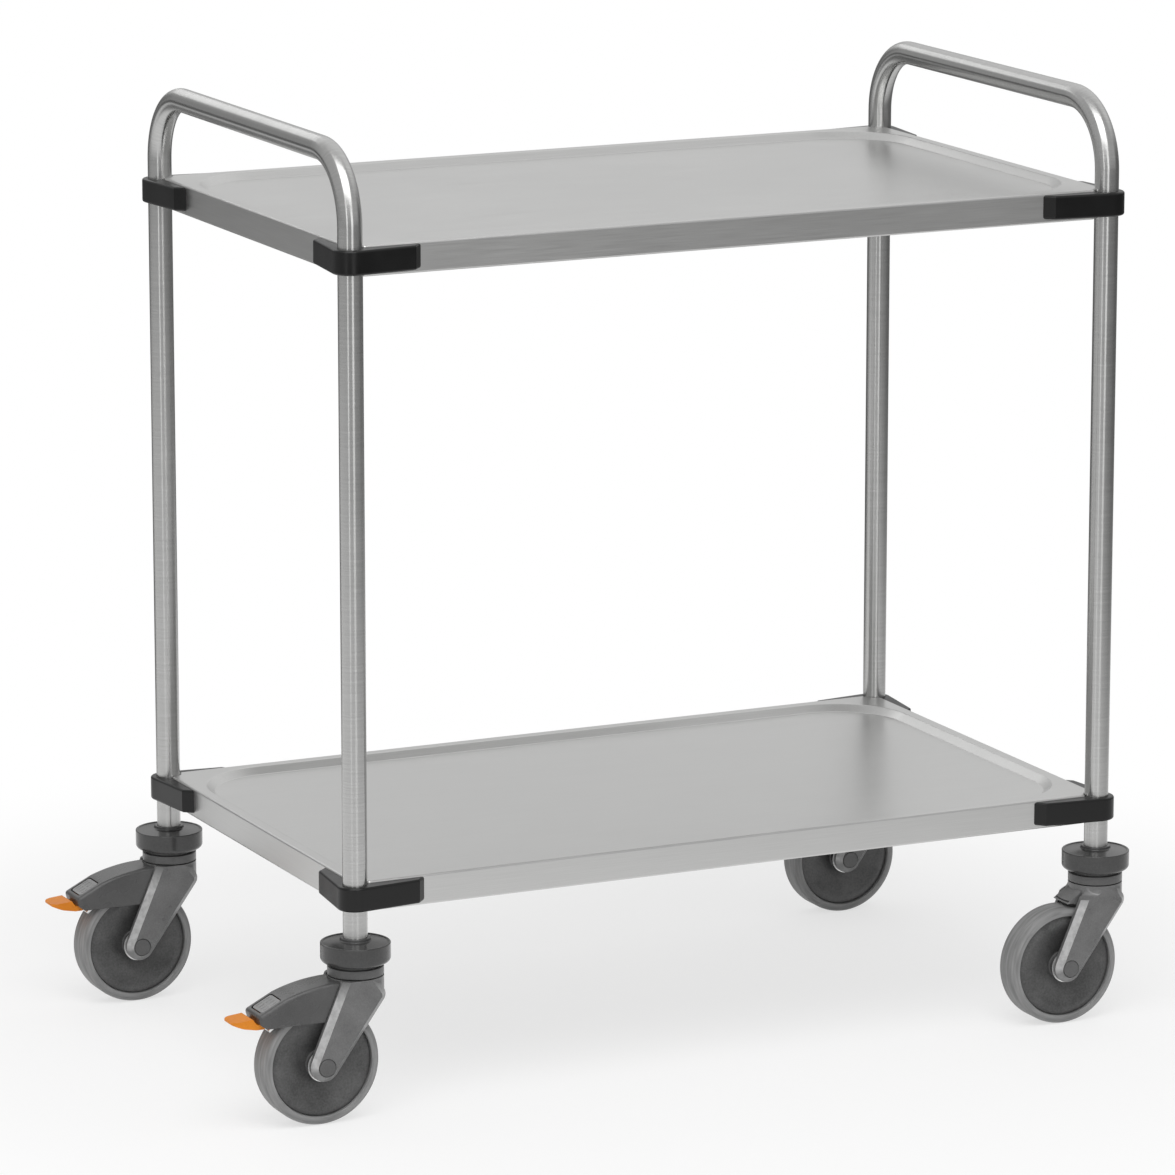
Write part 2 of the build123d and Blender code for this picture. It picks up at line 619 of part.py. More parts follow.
def nodes():
    """Every piece of the trolley by name, in place, as one solid or a list of alike solids."""
    middle = Pos(CENTRE_X, 0, 0)
    made = {}
    for name, end in ENDS.items():
        made[f"{name}_end_frame"] = middle * end_frame(end)
    tops = {"upper": UPPER_SHELF_TOP, "lower": LOWER_SHELF_TOP}
    tray = shelf()
    screws = []
    for level, top in tops.items():
        rim = middle * Pos(0, 0, top)
        made[f"{level}_shelf"] = rim * tray
        screws += [rim * place * cap_screw() for place in screw_places()]
        for corner, (end, side) in CORNERS.items():
            post = rim * Pos(end * POST_X, side * POST_Y, -CAP_DROP)
            made[f"{level}_corner_cap_{corner}"] = post * corner_cap(end, side)
    made["corner_cap_screws"] = screws
    posts = {
        corner: middle * Pos(end * POST_X, side * POST_Y, 0) for corner, (end, side) in CORNERS.items()
    }
    made["castor_stems"] = [post * castor_stem() for post in posts.values()]
    made["stem_expanders"] = [post * stem_expander() for post in posts.values()]
    made["swivel_balls"] = [post * ball for post in posts.values() for ball in swivel_balls()]
    per_castor = {
        "bumper_disc": bumper_disc(),
        "swivel_ring": swivel_ring(),
        "castor_fork": castor_fork(),
        "axle": axle(),
        "hub_washers": hub_washers(),
        "wheel_bush": wheel_bush(),
        "wheel_core": wheel_core(),
        "wheel_tread": wheel_tread(),
    }
    per_brake = {
        "brake_housing": brake_housing(),
        "pedal_pin": pedal_pin(),
        "brake_pedal": brake_pedal(),
        "release_pad": release_pad(),
        "brake_shoe": brake_shoe(),
    }
    for corner, post in posts.items():
        pieces = {**per_castor, **(per_brake if corner in BRAKED else {})}
        for name, piece in pieces.items():
            group = piece if isinstance(piece, list) else [piece]
            made[f"{name}_{corner}"] = [post * solid for solid in group]
    return made


def main():
    os.makedirs("parts", exist_ok=True)
    for name, piece in nodes().items():
        solids = piece if isinstance(piece, list) else [piece]
        export_step(solids[0] if len(solids) == 1 else Compound(children=solids), f"parts/{name}.step")


main()
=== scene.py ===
# %% [markdown]
# # A serving trolley in stainless steel
#
# The solid parts of the trolley come ready placed from its CAD frame: tubes, shelves, castors and
# brakes. This lesson dresses them. Each piece that shows is modelled again with soft edges, clean
# curves and a finish of its own, in the place that the frame gives it, so that nothing has to be fitted.
# Pieces that stay hidden keep their CAD mesh and only get a finish. Sizes of pieces and of patterns are
# given in millimetres, and the studio round them in metres.

# %% Load the frame
from math import atan2, cos, degrees, hypot, pi, radians, sin, sqrt, tan

import bmesh
import bpy
from mathutils import Matrix, Vector


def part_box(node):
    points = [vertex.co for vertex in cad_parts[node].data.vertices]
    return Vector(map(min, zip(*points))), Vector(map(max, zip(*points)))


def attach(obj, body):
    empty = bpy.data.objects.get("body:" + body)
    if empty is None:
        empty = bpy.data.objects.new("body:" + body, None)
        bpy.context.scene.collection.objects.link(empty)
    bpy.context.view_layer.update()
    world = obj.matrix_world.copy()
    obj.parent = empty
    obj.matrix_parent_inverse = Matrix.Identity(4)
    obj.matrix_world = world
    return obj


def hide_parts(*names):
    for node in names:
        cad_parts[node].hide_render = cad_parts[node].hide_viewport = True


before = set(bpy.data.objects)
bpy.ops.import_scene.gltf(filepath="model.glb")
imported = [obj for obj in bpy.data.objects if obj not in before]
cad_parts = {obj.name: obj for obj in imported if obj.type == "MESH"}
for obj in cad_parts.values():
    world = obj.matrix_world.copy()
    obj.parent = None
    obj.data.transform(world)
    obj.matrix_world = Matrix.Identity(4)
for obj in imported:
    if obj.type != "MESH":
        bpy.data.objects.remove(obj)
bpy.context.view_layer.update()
MM = 0.001
CORNERS = ("front_left", "front_right", "back_left", "back_right")
BRAKED = ("front_left", "back_left")


def middle(node):
    """The middle of a CAD node's box, in metres."""
    low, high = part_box(node)
    return (low + high) / 2


POSTS = {corner: middle(f"bumper_disc_{corner}") for corner in CORNERS}
AXLES = {corner: middle(f"wheel_tread_{corner}") for corner in CORNERS}

# %% [markdown]
# ## Finishes
#
# Every finish is a small tree of nodes that ends in the Principled shader. A designer picks colours as
# sRGB hex values, while Blender works with linear light, so one function turns the first into the
# second. Another adds a node with its settings and its links, which keeps each tree short to read.

# %% Colour and node helpers


def linear(hex_colour):
    """An sRGB hex colour as linear RGBA."""
    parts = [int(hex_colour[i : i + 2], 16) / 255 for i in (1, 3, 5)]
    return [p / 12.92 if p <= 0.04045 else ((p + 0.055) / 1.055) ** 2.4 for p in parts] + [1.0]


def feed(tree, node, inputs):
    """Fills inputs by name or in order: a node or a socket is linked, and any other value is set."""
    for name, value in inputs.items() if isinstance(inputs, dict) else enumerate(inputs):
        if isinstance(value, bpy.types.Node):
            value = value.outputs[0]
        if isinstance(value, bpy.types.NodeSocket):
            tree.links.new(value, node.inputs[name])
        else:
            node.inputs[name].default_value = value


def add(tree, kind, inputs=(), **settings):
    """Adds a node with its settings and its inputs."""
    node = tree.nodes.new(kind)
    for name, value in settings.items():
        setattr(node, name, value)
    feed(tree, node, inputs)
    return node


def new_finish(name, **constants):
    """A material with its constant shader values set, and what its nodes start from."""
    material = bpy.data.materials.new(name)
    material.use_nodes = True
    tree = material.node_tree
    shader = tree.nodes["Principled BSDF"]
    feed(tree, shader, {socket.replace("_", " "): value for socket, value in constants.items()})
    return material, tree, shader, add(tree, "ShaderNodeTexCoord")


def per_metre(millimetres):
    """The scale of a texture whose cells are that many millimetres wide."""
    return 1 / (millimetres * MM)


print("helpers ready")

# %% [markdown]
# ### Brushed stainless sheet
#
# The shelves are pressed from sheet that was brushed along its length with a belt. The eye sees fine
# streaks that run one way, and reflections that smear across them. A noise that is stretched along X
# gives the streaks to the colour, the roughness and a slight bump. The two end skirts were brushed
# along Y, so a second noise is stretched that way, and the surface normal chooses between the two.
# Anisotropy draws a highlight out along the tangent, which has to lie across the brushing: along Y on
# the flat of the shelf, and along Z on its skirts.

# %% Brushed sheet finish
STREAK_WIDTH = 1.0  # the real scratches are near 0.1 mm, too fine to show, so they are drawn coarser
STREAK_LENGTH = 60.0
STREAK_SPAN = (0.25, 0.75)
SHEET_CLOUD = 120.0
SHEET_ROUGH = (0.29, 0.38)
SHEET_HAZE = 0.04
SCRATCH_DEPTH = 0.2
END_SKIRT_X = 0.75  # a normal that leans further along X belongs to an end skirt
SKIRT_Z = 0.7  # a normal that leans less along Z belongs to any skirt

brushed_sheet, tree, shader, place = new_finish(
    "brushed stainless sheet", Metallic=1.0, Anisotropic=0.6
)
across, along = per_metre(STREAK_WIDTH), per_metre(STREAK_LENGTH)
streaks = []
for scale in ((along, across, across), (across, along, across)):
    stretched = add(tree, "ShaderNodeMapping", {"Vector": place.outputs["Object"], "Scale": scale})
    noise = add(tree, "ShaderNodeTexNoise", {"Vector": stretched, "Scale": 1.0, "Detail": 3.0})
    streaks.append(noise)
normal = add(tree, "ShaderNodeSeparateXYZ", [add(tree, "ShaderNodeNewGeometry").outputs["Normal"]])
end_skirt = add(tree, "ShaderNodeMath", [normal.outputs["X"]], operation="ABSOLUTE")
end_skirt = add(tree, "ShaderNodeMath", [end_skirt, END_SKIRT_X], operation="GREATER_THAN")
streak = add(
    tree, "ShaderNodeMix", {0: end_skirt, 2: streaks[0], 3: streaks[1]}, data_type="FLOAT"
)
cloud = add(
    tree,
    "ShaderNodeTexNoise",
    {"Vector": place.outputs["Object"], "Scale": per_metre(SHEET_CLOUD), "Detail": 2.0},
)
tone = add(
    tree,
    "ShaderNodeMix",
    {0: streak, 6: linear("#bebebd"), 7: linear("#d0d0cf")},
    data_type="RGBA",
)
sheen = add(tree, "ShaderNodeMapRange", [streak, *STREAK_SPAN, *SHEET_ROUGH])
haze = add(tree, "ShaderNodeMapRange", [cloud, 0, 1, -SHEET_HAZE, SHEET_HAZE])
rough = add(tree, "ShaderNodeMath", [sheen, haze], operation="ADD")
bump = add(
    tree, "ShaderNodeBump", {"Height": streak, "Strength": 0.08, "Distance": SCRATCH_DEPTH * MM}
)
skirt = add(tree, "ShaderNodeMath", [normal.outputs["Z"]], operation="ABSOLUTE")
skirt = add(tree, "ShaderNodeMath", [skirt, SKIRT_Z], operation="LESS_THAN")
smear = add(tree, "ShaderNodeMix", {0: skirt, 4: (0, 1, 0), 5: (0, 0, 1)}, data_type="VECTOR")
feed(tree, shader, {"Base Color": tone.outputs[2], "Roughness": rough})
feed(tree, shader, {"Normal": bump, "Tangent": smear.outputs[1]})
print(brushed_sheet.name)

# %% [markdown]
# ### Ground stainless tube
#
# The tube is ground on a belt while it turns, so its scratches run round it. They smear every light
# along the tube: the eye sees bright lines from end to end between dull grey ones. Anisotropy along the
# tube does that. The tube's own UV map, which runs round it and along it, gives the direction.

# %% Ground tube finish
GRIND_ROUND = 40.0
GRIND_ALONG = 1.6
TUBE_CLOUD = 60.0
TUBE_ROUGH = (0.2, 0.27)

ground_tube, tree, shader, place = new_finish(
    "ground stainless tube", Metallic=1.0, Anisotropic=0.85, Anisotropic_Rotation=0.25
)
round_tube = add(
    tree,
    "ShaderNodeMapping",
    {
        "Vector": place.outputs["UV"],
        "Scale": (per_metre(GRIND_ROUND), per_metre(GRIND_ALONG), 1.0),
    },
)
grain = add(tree, "ShaderNodeTexNoise", {"Vector": round_tube, "Scale": 1.0, "Detail": 3.0})
smear = add(tree, "ShaderNodeTangent", direction_type="UV_MAP", uv_map="round")
cloud = add(
    tree,
    "ShaderNodeTexNoise",
    {"Vector": place.outputs["Object"], "Scale": per_metre(TUBE_CLOUD), "Detail": 2.0},
)
rough = add(tree, "ShaderNodeMapRange", [cloud, 0, 1, *TUBE_ROUGH])
tone = add(
    tree,
    "ShaderNodeMix",
    {0: grain, 6: linear("#aaaaa9"), 7: linear("#c2c2c1")},
    data_type="RGBA",
)
bump = add(
    tree, "ShaderNodeBump", {"Height": grain, "Strength": 0.05, "Distance": SCRATCH_DEPTH * MM}
)
feed(tree, shader, {"Base Color": tone.outputs[2], "Roughness": rough})
feed(tree, shader, {"Normal": bump, "Tangent": smear})
print(ground_tube.name)

# %% [markdown]
# ### Moulded plastics
#
# Caps, discs, forks, hoods, wheel discs, pads and pedals are injection moulded. A mould leaves a fine
# even grain, and handling leaves patches that are a little more or less dull. The tree is the same for
# all of them: two close colours in soft patches, a roughness that wanders, and a bump of fine grain.
# What differs is the plastic: its two colours, its gloss and the size of its grain. The fork's bevels
# stand out and take the knocks, and their paler tone is partly scuffs and partly a painted highlight,
# strongest where they are low and look up; the place and the normal of the surface tell where that is.

# %% Moulded plastic finishes
PATCH = 28.0
PATCH_SPAN = (0.35, 0.65)
GRAIN_SHARE = 0.4
GRAIN_DEPTH = 0.3
GLOSS_SPAN = (0.3, 0.7)
BEVEL_SPREAD = 0.03
SCUFF = 5.0
# Each of these says from what to what a cause runs, and the share of the pale bevel tone, scuffs and
# painted highlight, at both ends.
SCUFF_RANGE = (0.3, 0.6, 0.6, 1.0)
SHEEN_AND_WEAR_LOW = (0.125, 0.148, 1.0, 0.0)  # the height over the floor, in metres
# The painted highlight: a bevel is paler the more its normal leans up.
SHEEN_FACING_UP = (-0.25, 0.1, 0.3, 1.0)  # how far the normal leans up


def moulded(name, dark, pale, gloss, grain, depth, ior=1.5, scuffs_and_sheen=None):
    """A moulded plastic: patchy colour between two tones, wandering gloss and a fine grain.

    A plastic may get a third, paler tone on its bevels: scuffs, and a painted highlight where they look
    up.
    """
    material, tree, shader, place = new_finish(name, IOR=ior)
    patches, fine = [
        add(
            tree,
            "ShaderNodeTexNoise",
            {"Vector": place.outputs["Object"], "Scale": per_metre(size), "Detail": detail},
        )
        for size, detail in ((PATCH, 4.0), (grain, 2.0))
    ]
    speckle = add(tree, "ShaderNodeMix", {0: GRAIN_SHARE, 2: patches, 3: fine})
    mixed = add(tree, "ShaderNodeMapRange", [speckle, *PATCH_SPAN])
    tone = add(
        tree, "ShaderNodeMix", {0: mixed, 6: linear(dark), 7: linear(pale)}, data_type="RGBA"
    )
    if scuffs_and_sheen:
        # The pale bevel tone is partly scuffs and partly a painted highlight.
        normal = add(tree, "ShaderNodeSeparateXYZ", [place.outputs["Normal"]])
        spot = add(tree, "ShaderNodeSeparateXYZ", [place.outputs["Object"]])
        side = add(tree, "ShaderNodeMath", [normal.outputs["Y"]], operation="ABSOLUTE")
        pale_share = add(tree, "ShaderNodeMath", [side, sin(pi / 4), BEVEL_SPREAD], operation="COMPARE")
        scuffs = add(
            tree,
            "ShaderNodeTexNoise",
            {"Vector": place.outputs["Object"], "Scale": per_metre(SCUFF), "Detail": 5.0},
        )
        for cause, reach in (
            (scuffs, SCUFF_RANGE),
            (spot.outputs["Z"], SHEEN_AND_WEAR_LOW),
            (normal.outputs["Z"], SHEEN_FACING_UP),
        ):
            share = add(tree, "ShaderNodeMapRange", [cause, *reach])
            pale_share = add(tree, "ShaderNodeMath", [pale_share, share], operation="MULTIPLY")
        tone = add(
            tree,
            "ShaderNodeMix",
            {0: pale_share, 6: tone.outputs[2], 7: linear(scuffs_and_sheen)},
            data_type="RGBA",
        )
    rough = add(tree, "ShaderNodeMapRange", [patches, *GLOSS_SPAN, *gloss])
    bump = add(
        tree, "ShaderNodeBump", {"Height": fine, "Strength": depth, "Distance": GRAIN_DEPTH * MM}
    )
    feed(tree, shader, {"Base Color": tone.outputs[2], "Roughness": rough, "Normal": bump})
    return material


# Grained black polypropylene: almost no colour of its own, only the sheen of what it faces.
cap_black = moulded(
    "grained black polypropylene", "#030303", "#060606", (0.3, 0.38), 1.5, 0.15, 1.43
)
# Bumpers are soft black PVC, a little glossy on top where hands never reach.
bumper_black = moulded("semi-gloss black PVC", "#363636", "#424242", (0.16, 0.24), 2.0, 0.1)
# Glass-filled nylon: a mid grey with a satin skin.
ring_grey = moulded("satin grey nylon", "#4c4c4c", "#5c5c5c", (0.26, 0.38), 1.2, 0.25)
# The fork is the same nylon, with pale bevels: scuffs and a painted highlight.
fork_grey = moulded(
    "grey nylon with scuffs and painted sheen", "#5b5b5b", "#717171", (0.26, 0.38), 1.2, 0.25, scuffs_and_sheen="#b8b8b8"
)
# The hood is a darker grey than the fork, with a top that stays shiny.
hood_grey = moulded("satin dark grey nylon", "#424242", "#525252", (0.22, 0.34), 1.2, 0.25)
# The disc of the wheel is smooth polypropylene, dark, and clouded by dust and small knocks.
core_grey = moulded("dusty dark polypropylene", "#383838", "#585858", (0.32, 0.5), 2.0, 0.1)
# Orange ABS: a clean strong colour that warns the foot where to press.
pedal_orange = moulded("orange ABS", "#d87c12", "#e48c1e", (0.42, 0.52), 2.0, 0.08, 1.4)
# Pale grey ABS, dull from shoes.
pad_pale = moulded("dull pale grey ABS", "#7e7e7e", "#989898", (0.4, 0.55), 1.5, 0.15)
print("plastics:", cap_black.name, fork_grey.name, hood_grey.name, core_grey.name, pad_pale.name)

# %% [markdown]
# ### Grey rubber tread
#
# A non-marking tread is a matt grey rubber. Rolling wears faint streaks round it, so its noise is
# stretched round the wheel. The wheel's own UV map runs round the tread, so the streaks turn with it.

# %% Rubber finish
STREAK_ROUND = 40.0
STREAK_ACROSS = 4.0
WEAR_SPAN = (0.3, 0.7)
PORE = 1.2
RUBBER_ROUGH = (0.55, 0.75)

tread_grey, tree, shader, place = new_finish("matt grey rubber", IOR=1.5)
stretched = add(
    tree,
    "ShaderNodeMapping",
    {
        "Vector": place.outputs["UV"],
        "Scale": (per_metre(STREAK_ROUND), per_metre(STREAK_ACROSS), 1.0),
    },
)
pale_share = add(tree, "ShaderNodeTexNoise", {"Vector": stretched, "Scale": 1.0, "Detail": 4.0})
spread = add(tree, "ShaderNodeMapRange", [pale_share, *WEAR_SPAN])
pores = add(
    tree,
    "ShaderNodeTexNoise",
    {"Vector": place.outputs["Object"], "Scale": per_metre(PORE), "Detail": 2.0},
)
tone = add(
    tree,
    "ShaderNodeMix",
    {0: spread, 6: linear("#747474"), 7: linear("#969696")},
    data_type="RGBA",
)
rough = add(tree, "ShaderNodeMapRange", [pale_share, 0, 1, *RUBBER_ROUGH])
bump = add(
    tree, "ShaderNodeBump", {"Height": pores, "Strength": 0.15, "Distance": GRAIN_DEPTH * MM}
)
feed(tree, shader, {"Base Color": tone.outputs[2], "Roughness": rough, "Normal": bump})
print(tread_grey.name)

# %% [markdown]
# ### Plated and hardened steel
#
# Washers, screws, stems, pins and the brake shoe are zinc plated: a bright metal with a cloudy
# spangle. The balls of the swivel are hardened and polished, so they are darker and much smoother.
# Both are metals, and only their tones, their roughness and the size of the clouds differ.

# %% Steel finishes


def plated(name, dark, pale, rough_range, spangle):
    """A metal skin with cloudy patches in its tone and its roughness."""
    material, tree, shader, place = new_finish(name, Metallic=1.0)
    cloud = add(
        tree,
        "ShaderNodeTexVoronoi",
        {"Vector": place.outputs["Object"], "Scale": per_metre(spangle)},
        feature="SMOOTH_F1",
    )
    tone = add(
        tree, "ShaderNodeMix", {0: cloud, 6: linear(pale), 7: linear(dark)}, data_type="RGBA"
    )
    rough = add(tree, "ShaderNodeMapRange", [cloud, 0, 1, *rough_range])
    feed(tree, shader, {"Base Color": tone.outputs[2], "Roughness": rough})
    return material


zinc_plate = plated("bright zinc plate", "#d2d2d2", "#eeeeed", (0.3, 0.45), 3.0)
ball_steel = plated("polished bearing steel", "#8f8f90", "#b9b9ba", (0.08, 0.16), 2.0)
print("metals:", zinc_plate.name, ball_steel.name)

# %% [markdown]
# ## Making a piece
#
# Most pieces are built with bmesh, in millimetres, and end up the same way: a mesh in metres, smooth
# where faces meet gently and sharp where they don't, with a finish, a CAD body to ride on and a CAD
# node to stand for. Modifiers do the last rounding, and their result becomes the piece's plain mesh.
# The last of them is Weighted Normal: it lets large flat faces stay flat beside their rounded edges.

# %% Piece helpers
SHARP_ANGLE = radians(32)


def new_object(name, data):
    """An object in the scene that shows some data."""
    item = bpy.data.objects.new(name, data)
    bpy.context.scene.collection.objects.link(item)
    return item


def piece(name, bm, place=Vector((0, 0, 0))):
    """An object from a bmesh drawn in millimetres about a place that is given in metres."""
    bmesh.ops.scale(bm, vec=(MM, MM, MM), verts=bm.verts)
    bmesh.ops.translate(bm, vec=place, verts=bm.verts)
    mesh = bpy.data.meshes.new(name)
    bm.to_mesh(mesh)
    bm.free()
    return new_object(name, mesh)


def plain_mesh(item):
    """The mesh that an object's modifiers make of it."""
    graph = bpy.context.evaluated_depsgraph_get()
    return bpy.data.meshes.new_from_object(item.evaluated_get(graph))


def settle(item):
    """Turns an object with its modifiers into a plain mesh, evenly shaded but for its sharp edges."""
    name, mesh = item.name, plain_mesh(item)
    mesh.shade_smooth()
    mesh.set_sharp_from_angle(angle=SHARP_ANGLE)
    bpy.data.objects.remove(item)
    item = new_object(name, mesh)
    even = item.modifiers.new("even shading", "WEIGHTED_NORMAL")
    even.keep_sharp = True
    item.data = plain_mesh(item)
    item.modifiers.clear()
    item.data.name = name
    return item


def dress(item, finish, slot, body, *nodes):
    """Gives a settled piece its finish, its body and the CAD nodes that it stands for."""
    item.data.materials.clear()
    item.data.materials.append(finish)
    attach(item, body)
    if nodes:
        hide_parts(*nodes)
    return item


def arc(centre, radius, start, end, steps):
    """Points on an arc in a plane, from one angle to another, both ends included."""
    turns = [start + (end - start) * i / steps for i in range(steps + 1)]
    return [(centre[0] + radius * cos(a), centre[1] + radius * sin(a)) for a in turns]


print("sharp over", round(degrees(SHARP_ANGLE)), "degrees")

# %% [markdown]
# ## End frames
#
# Each end of the trolley is one tube: up a post, over as the push handle and down the other post. A
# tube follows a path, so Geometry Nodes make it. The path is a curve of four corner points. The tree
# rounds its corners to the bending radius and sweeps a circle along it. It keeps the lengths along the
# path and round the circle, and stores them as the UV map that the tube's finish needs.

# %% Bent tube tree
HANDLE_BEND = 70.0
BEND_STEPS = 24
TUBE_SIDES = 48


def inlet(tree, name, kind):
    """A new input of a tree, as the identifier by which a modifier sets it."""
    socket = tree.interface.new_socket(name, in_out="INPUT", socket_type=f"NodeSocket{kind}")
    return socket.identifier


tube_tree = bpy.data.node_groups.new("bent tube", "GeometryNodeTree")
inlet(tube_tree, "Path", "Geometry")
RADIUS = inlet(tube_tree, "Tube Radius", "Float")
BEND = inlet(tube_tree, "Bend Radius", "Float")
FINISH = inlet(tube_tree, "Finish", "Material")
tube_tree.interface.new_socket("Tube", in_out="OUTPUT", socket_type="NodeSocketGeometry")
given = add(tube_tree, "NodeGroupInput")
bent = add(
    tube_tree,
    "GeometryNodeFilletCurve",
    {"Curve": given.outputs["Path"], "Radius": given.outputs["Bend Radius"], "Count": BEND_STEPS},
    mode="POLY",
)
section = add(
    tube_tree,
    "GeometryNodeCurvePrimitiveCircle",
    {"Radius": given.outputs["Tube Radius"], "Resolution": TUBE_SIDES},
)
lines = []
for line in (bent, section):
    kept = add(tube_tree, "GeometryNodeCaptureAttribute", [line])
    kept.capture_items.new("FLOAT", "length")
    feed(tube_tree, kept, {1: add(tube_tree, "GeometryNodeSplineParameter").outputs["Length"]})
    lines.append(kept)
swept = add(
    tube_tree,
    "GeometryNodeCurveToMesh",
    {"Curve": lines[0], "Profile Curve": lines[1], "Fill Caps": True},
)
unrolled = add(
    tube_tree, "ShaderNodeCombineXYZ", {"X": lines[1].outputs[1], "Y": lines[0].outputs[1]}
)
mapped = add(
    tube_tree,
    "GeometryNodeStoreNamedAttribute",
    {"Geometry": swept, "Name": "round", "Value": unrolled},
    data_type="FLOAT2",
    domain="CORNER",
)
single = add(tube_tree, "GeometryNodeRealizeInstances", [mapped])
coloured = add(
    tube_tree,
    "GeometryNodeSetMaterial",
    {"Geometry": single, "Material": given.outputs["Finish"]},
)
add(tube_tree, "NodeGroupOutput", [coloured])
print("tree:", tube_tree.name, len(tube_tree.nodes), "nodes")

# %% Bend both end frames


def end_frame(end):
    """The tube of one end, through the middle line of its CAD node."""
    low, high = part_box(f"{end}_end_frame")
    radius = (high.x - low.x) / 2
    x, top = (low.x + high.x) / 2, high.z - radius
    front, back = low.y + radius, high.y - radius
    path = bpy.data.curves.new(f"{end}_end_tube", "CURVE")
    path.dimensions = "3D"
    line = path.splines.new("POLY")
    line.points.add(3)
    stops = ((x, front, low.z), (x, front, top), (x, back, top), (x, back, low.z))
    for point, stop in zip(line.points, stops):
        point.co = (*stop, 1)
    item = new_object(f"{end}_end_tube", path)
    bend = item.modifiers.new("bend", "NODES")
    bend.node_group = tube_tree
    bend[RADIUS] = radius
    bend[BEND] = HANDLE_BEND * MM
    bend[FINISH] = ground_tube
    return settle(item)


for end in ("left", "right"):
    tube = end_frame(end)
    dress(tube, ground_tube, "stainless_tube", "trolley_frame", f"{end}_end_frame")
    print(tube.name, len(tube.data.polygons), "faces")

# %% [markdown]
# ## Shelves
#
# A shelf is one pressed sheet. From below it runs in as a flange, round a bend, up the skirt, round
# another bend into the flat rim, and down a soft step into the well. At each corner the sheet is cut
# back in a round notch for the post. The sheet is drawn as closed loops of points from outside to
# inside, each joined to the next by a band of faces. Only the rim joins two loops of different shape,
# so it is filled with triangles: it is flat and they don't show. Solidify then gives the sheet its
# gauge.

# %% Shelf sizes and loops
SHEET = 1.2
SKIRT_FLANGE = 11.0
SKIRT_BEND = 2.2
POST_INSET = 1.0
NOTCH_GAP = 0.4
NOTCH_EDGE = 4.0
LEAST_EDGE = 0.2
RIM_WIDTH = 12.5
WELL_DEPTH = 7.0
WELL_RUN = 9.0
WELL_CORNER = 85.0
WELL_BEND = 3.0
STEPS = 6

low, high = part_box("upper_shelf")
SHELF_LENGTH, SHELF_WIDTH, SKIRT_HEIGHT = ((high - low) / MM)[:]
low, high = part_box("left_end_frame")
TUBE_RADIUS = (high.x - low.x) / 2 / MM
TURN = (((1, 1), 1), ((-1, 1), -1), ((-1, -1), 1), ((1, -1), -1))


def corner_loop(corner_points, x, y):
    """A closed loop from the points of one corner about (x, y), mirrored to all four corners."""
    loop = []
    for (end, side), order in TURN:
        loop += [(end * (x + px), side * (y + py)) for px, py in corner_points[::order]]
    return loop


def skirt_loop(inset):
    """The plan of the skirt drawn in by a distance: straight sides and four round notches."""
    edge = max(NOTCH_EDGE - inset, LEAST_EDGE)
    notch = TUBE_RADIUS + NOTCH_GAP + inset
    wall = POST_INSET - inset
    reach = sqrt((notch + edge) ** 2 - (wall - edge) ** 2)
    first = arc((wall - edge, -reach), edge, 0, atan2(reach, edge - wall), STEPS)
    hollow = arc((0, 0), notch, atan2(-reach, wall - edge), atan2(wall - edge, -reach), 3 * STEPS)
    last = [(y, x) for x, y in reversed(first)]
    return corner_loop(
        first + hollow[1:-1] + last, SHELF_LENGTH / 2 - POST_INSET, SHELF_WIDTH / 2 - POST_INSET
    )


def well_loop(inset):
    """The plan of the well drawn in by a distance: a rectangle with round corners."""
    return corner_loop(
        arc((0, 0), WELL_CORNER - inset, 0, pi / 2, 5 * STEPS),
        SHELF_LENGTH / 2 - RIM_WIDTH - WELL_CORNER,
        SHELF_WIDTH / 2 - RIM_WIDTH - WELL_CORNER,
    )


print("shelf", round(SHELF_LENGTH), round(SHELF_WIDTH), round(SKIRT_HEIGHT), "mm")

# %% Press both shelves


def bands(bm, loops):
    """Joins closed loops of points (plan, height), each to the next, and returns them as rows."""
    rows = [[bm.verts.new((x, y, z)) for x, y in plan] for plan, z in loops]
    for one, two in zip(rows, rows[1:]):
        for i in range(len(one)):
            j = (i + 1) % len(one)
            bm.faces.new((one[i], one[j], two[j], two[i]))
    return rows


def loop_edges(bm, row):
    """The edges of a closed row of points, made where they don't exist yet."""
    pairs = zip(row, row[1:] + row[:1])
    return [bm.edges.get(pair) or bm.edges.new(pair) for pair in pairs]


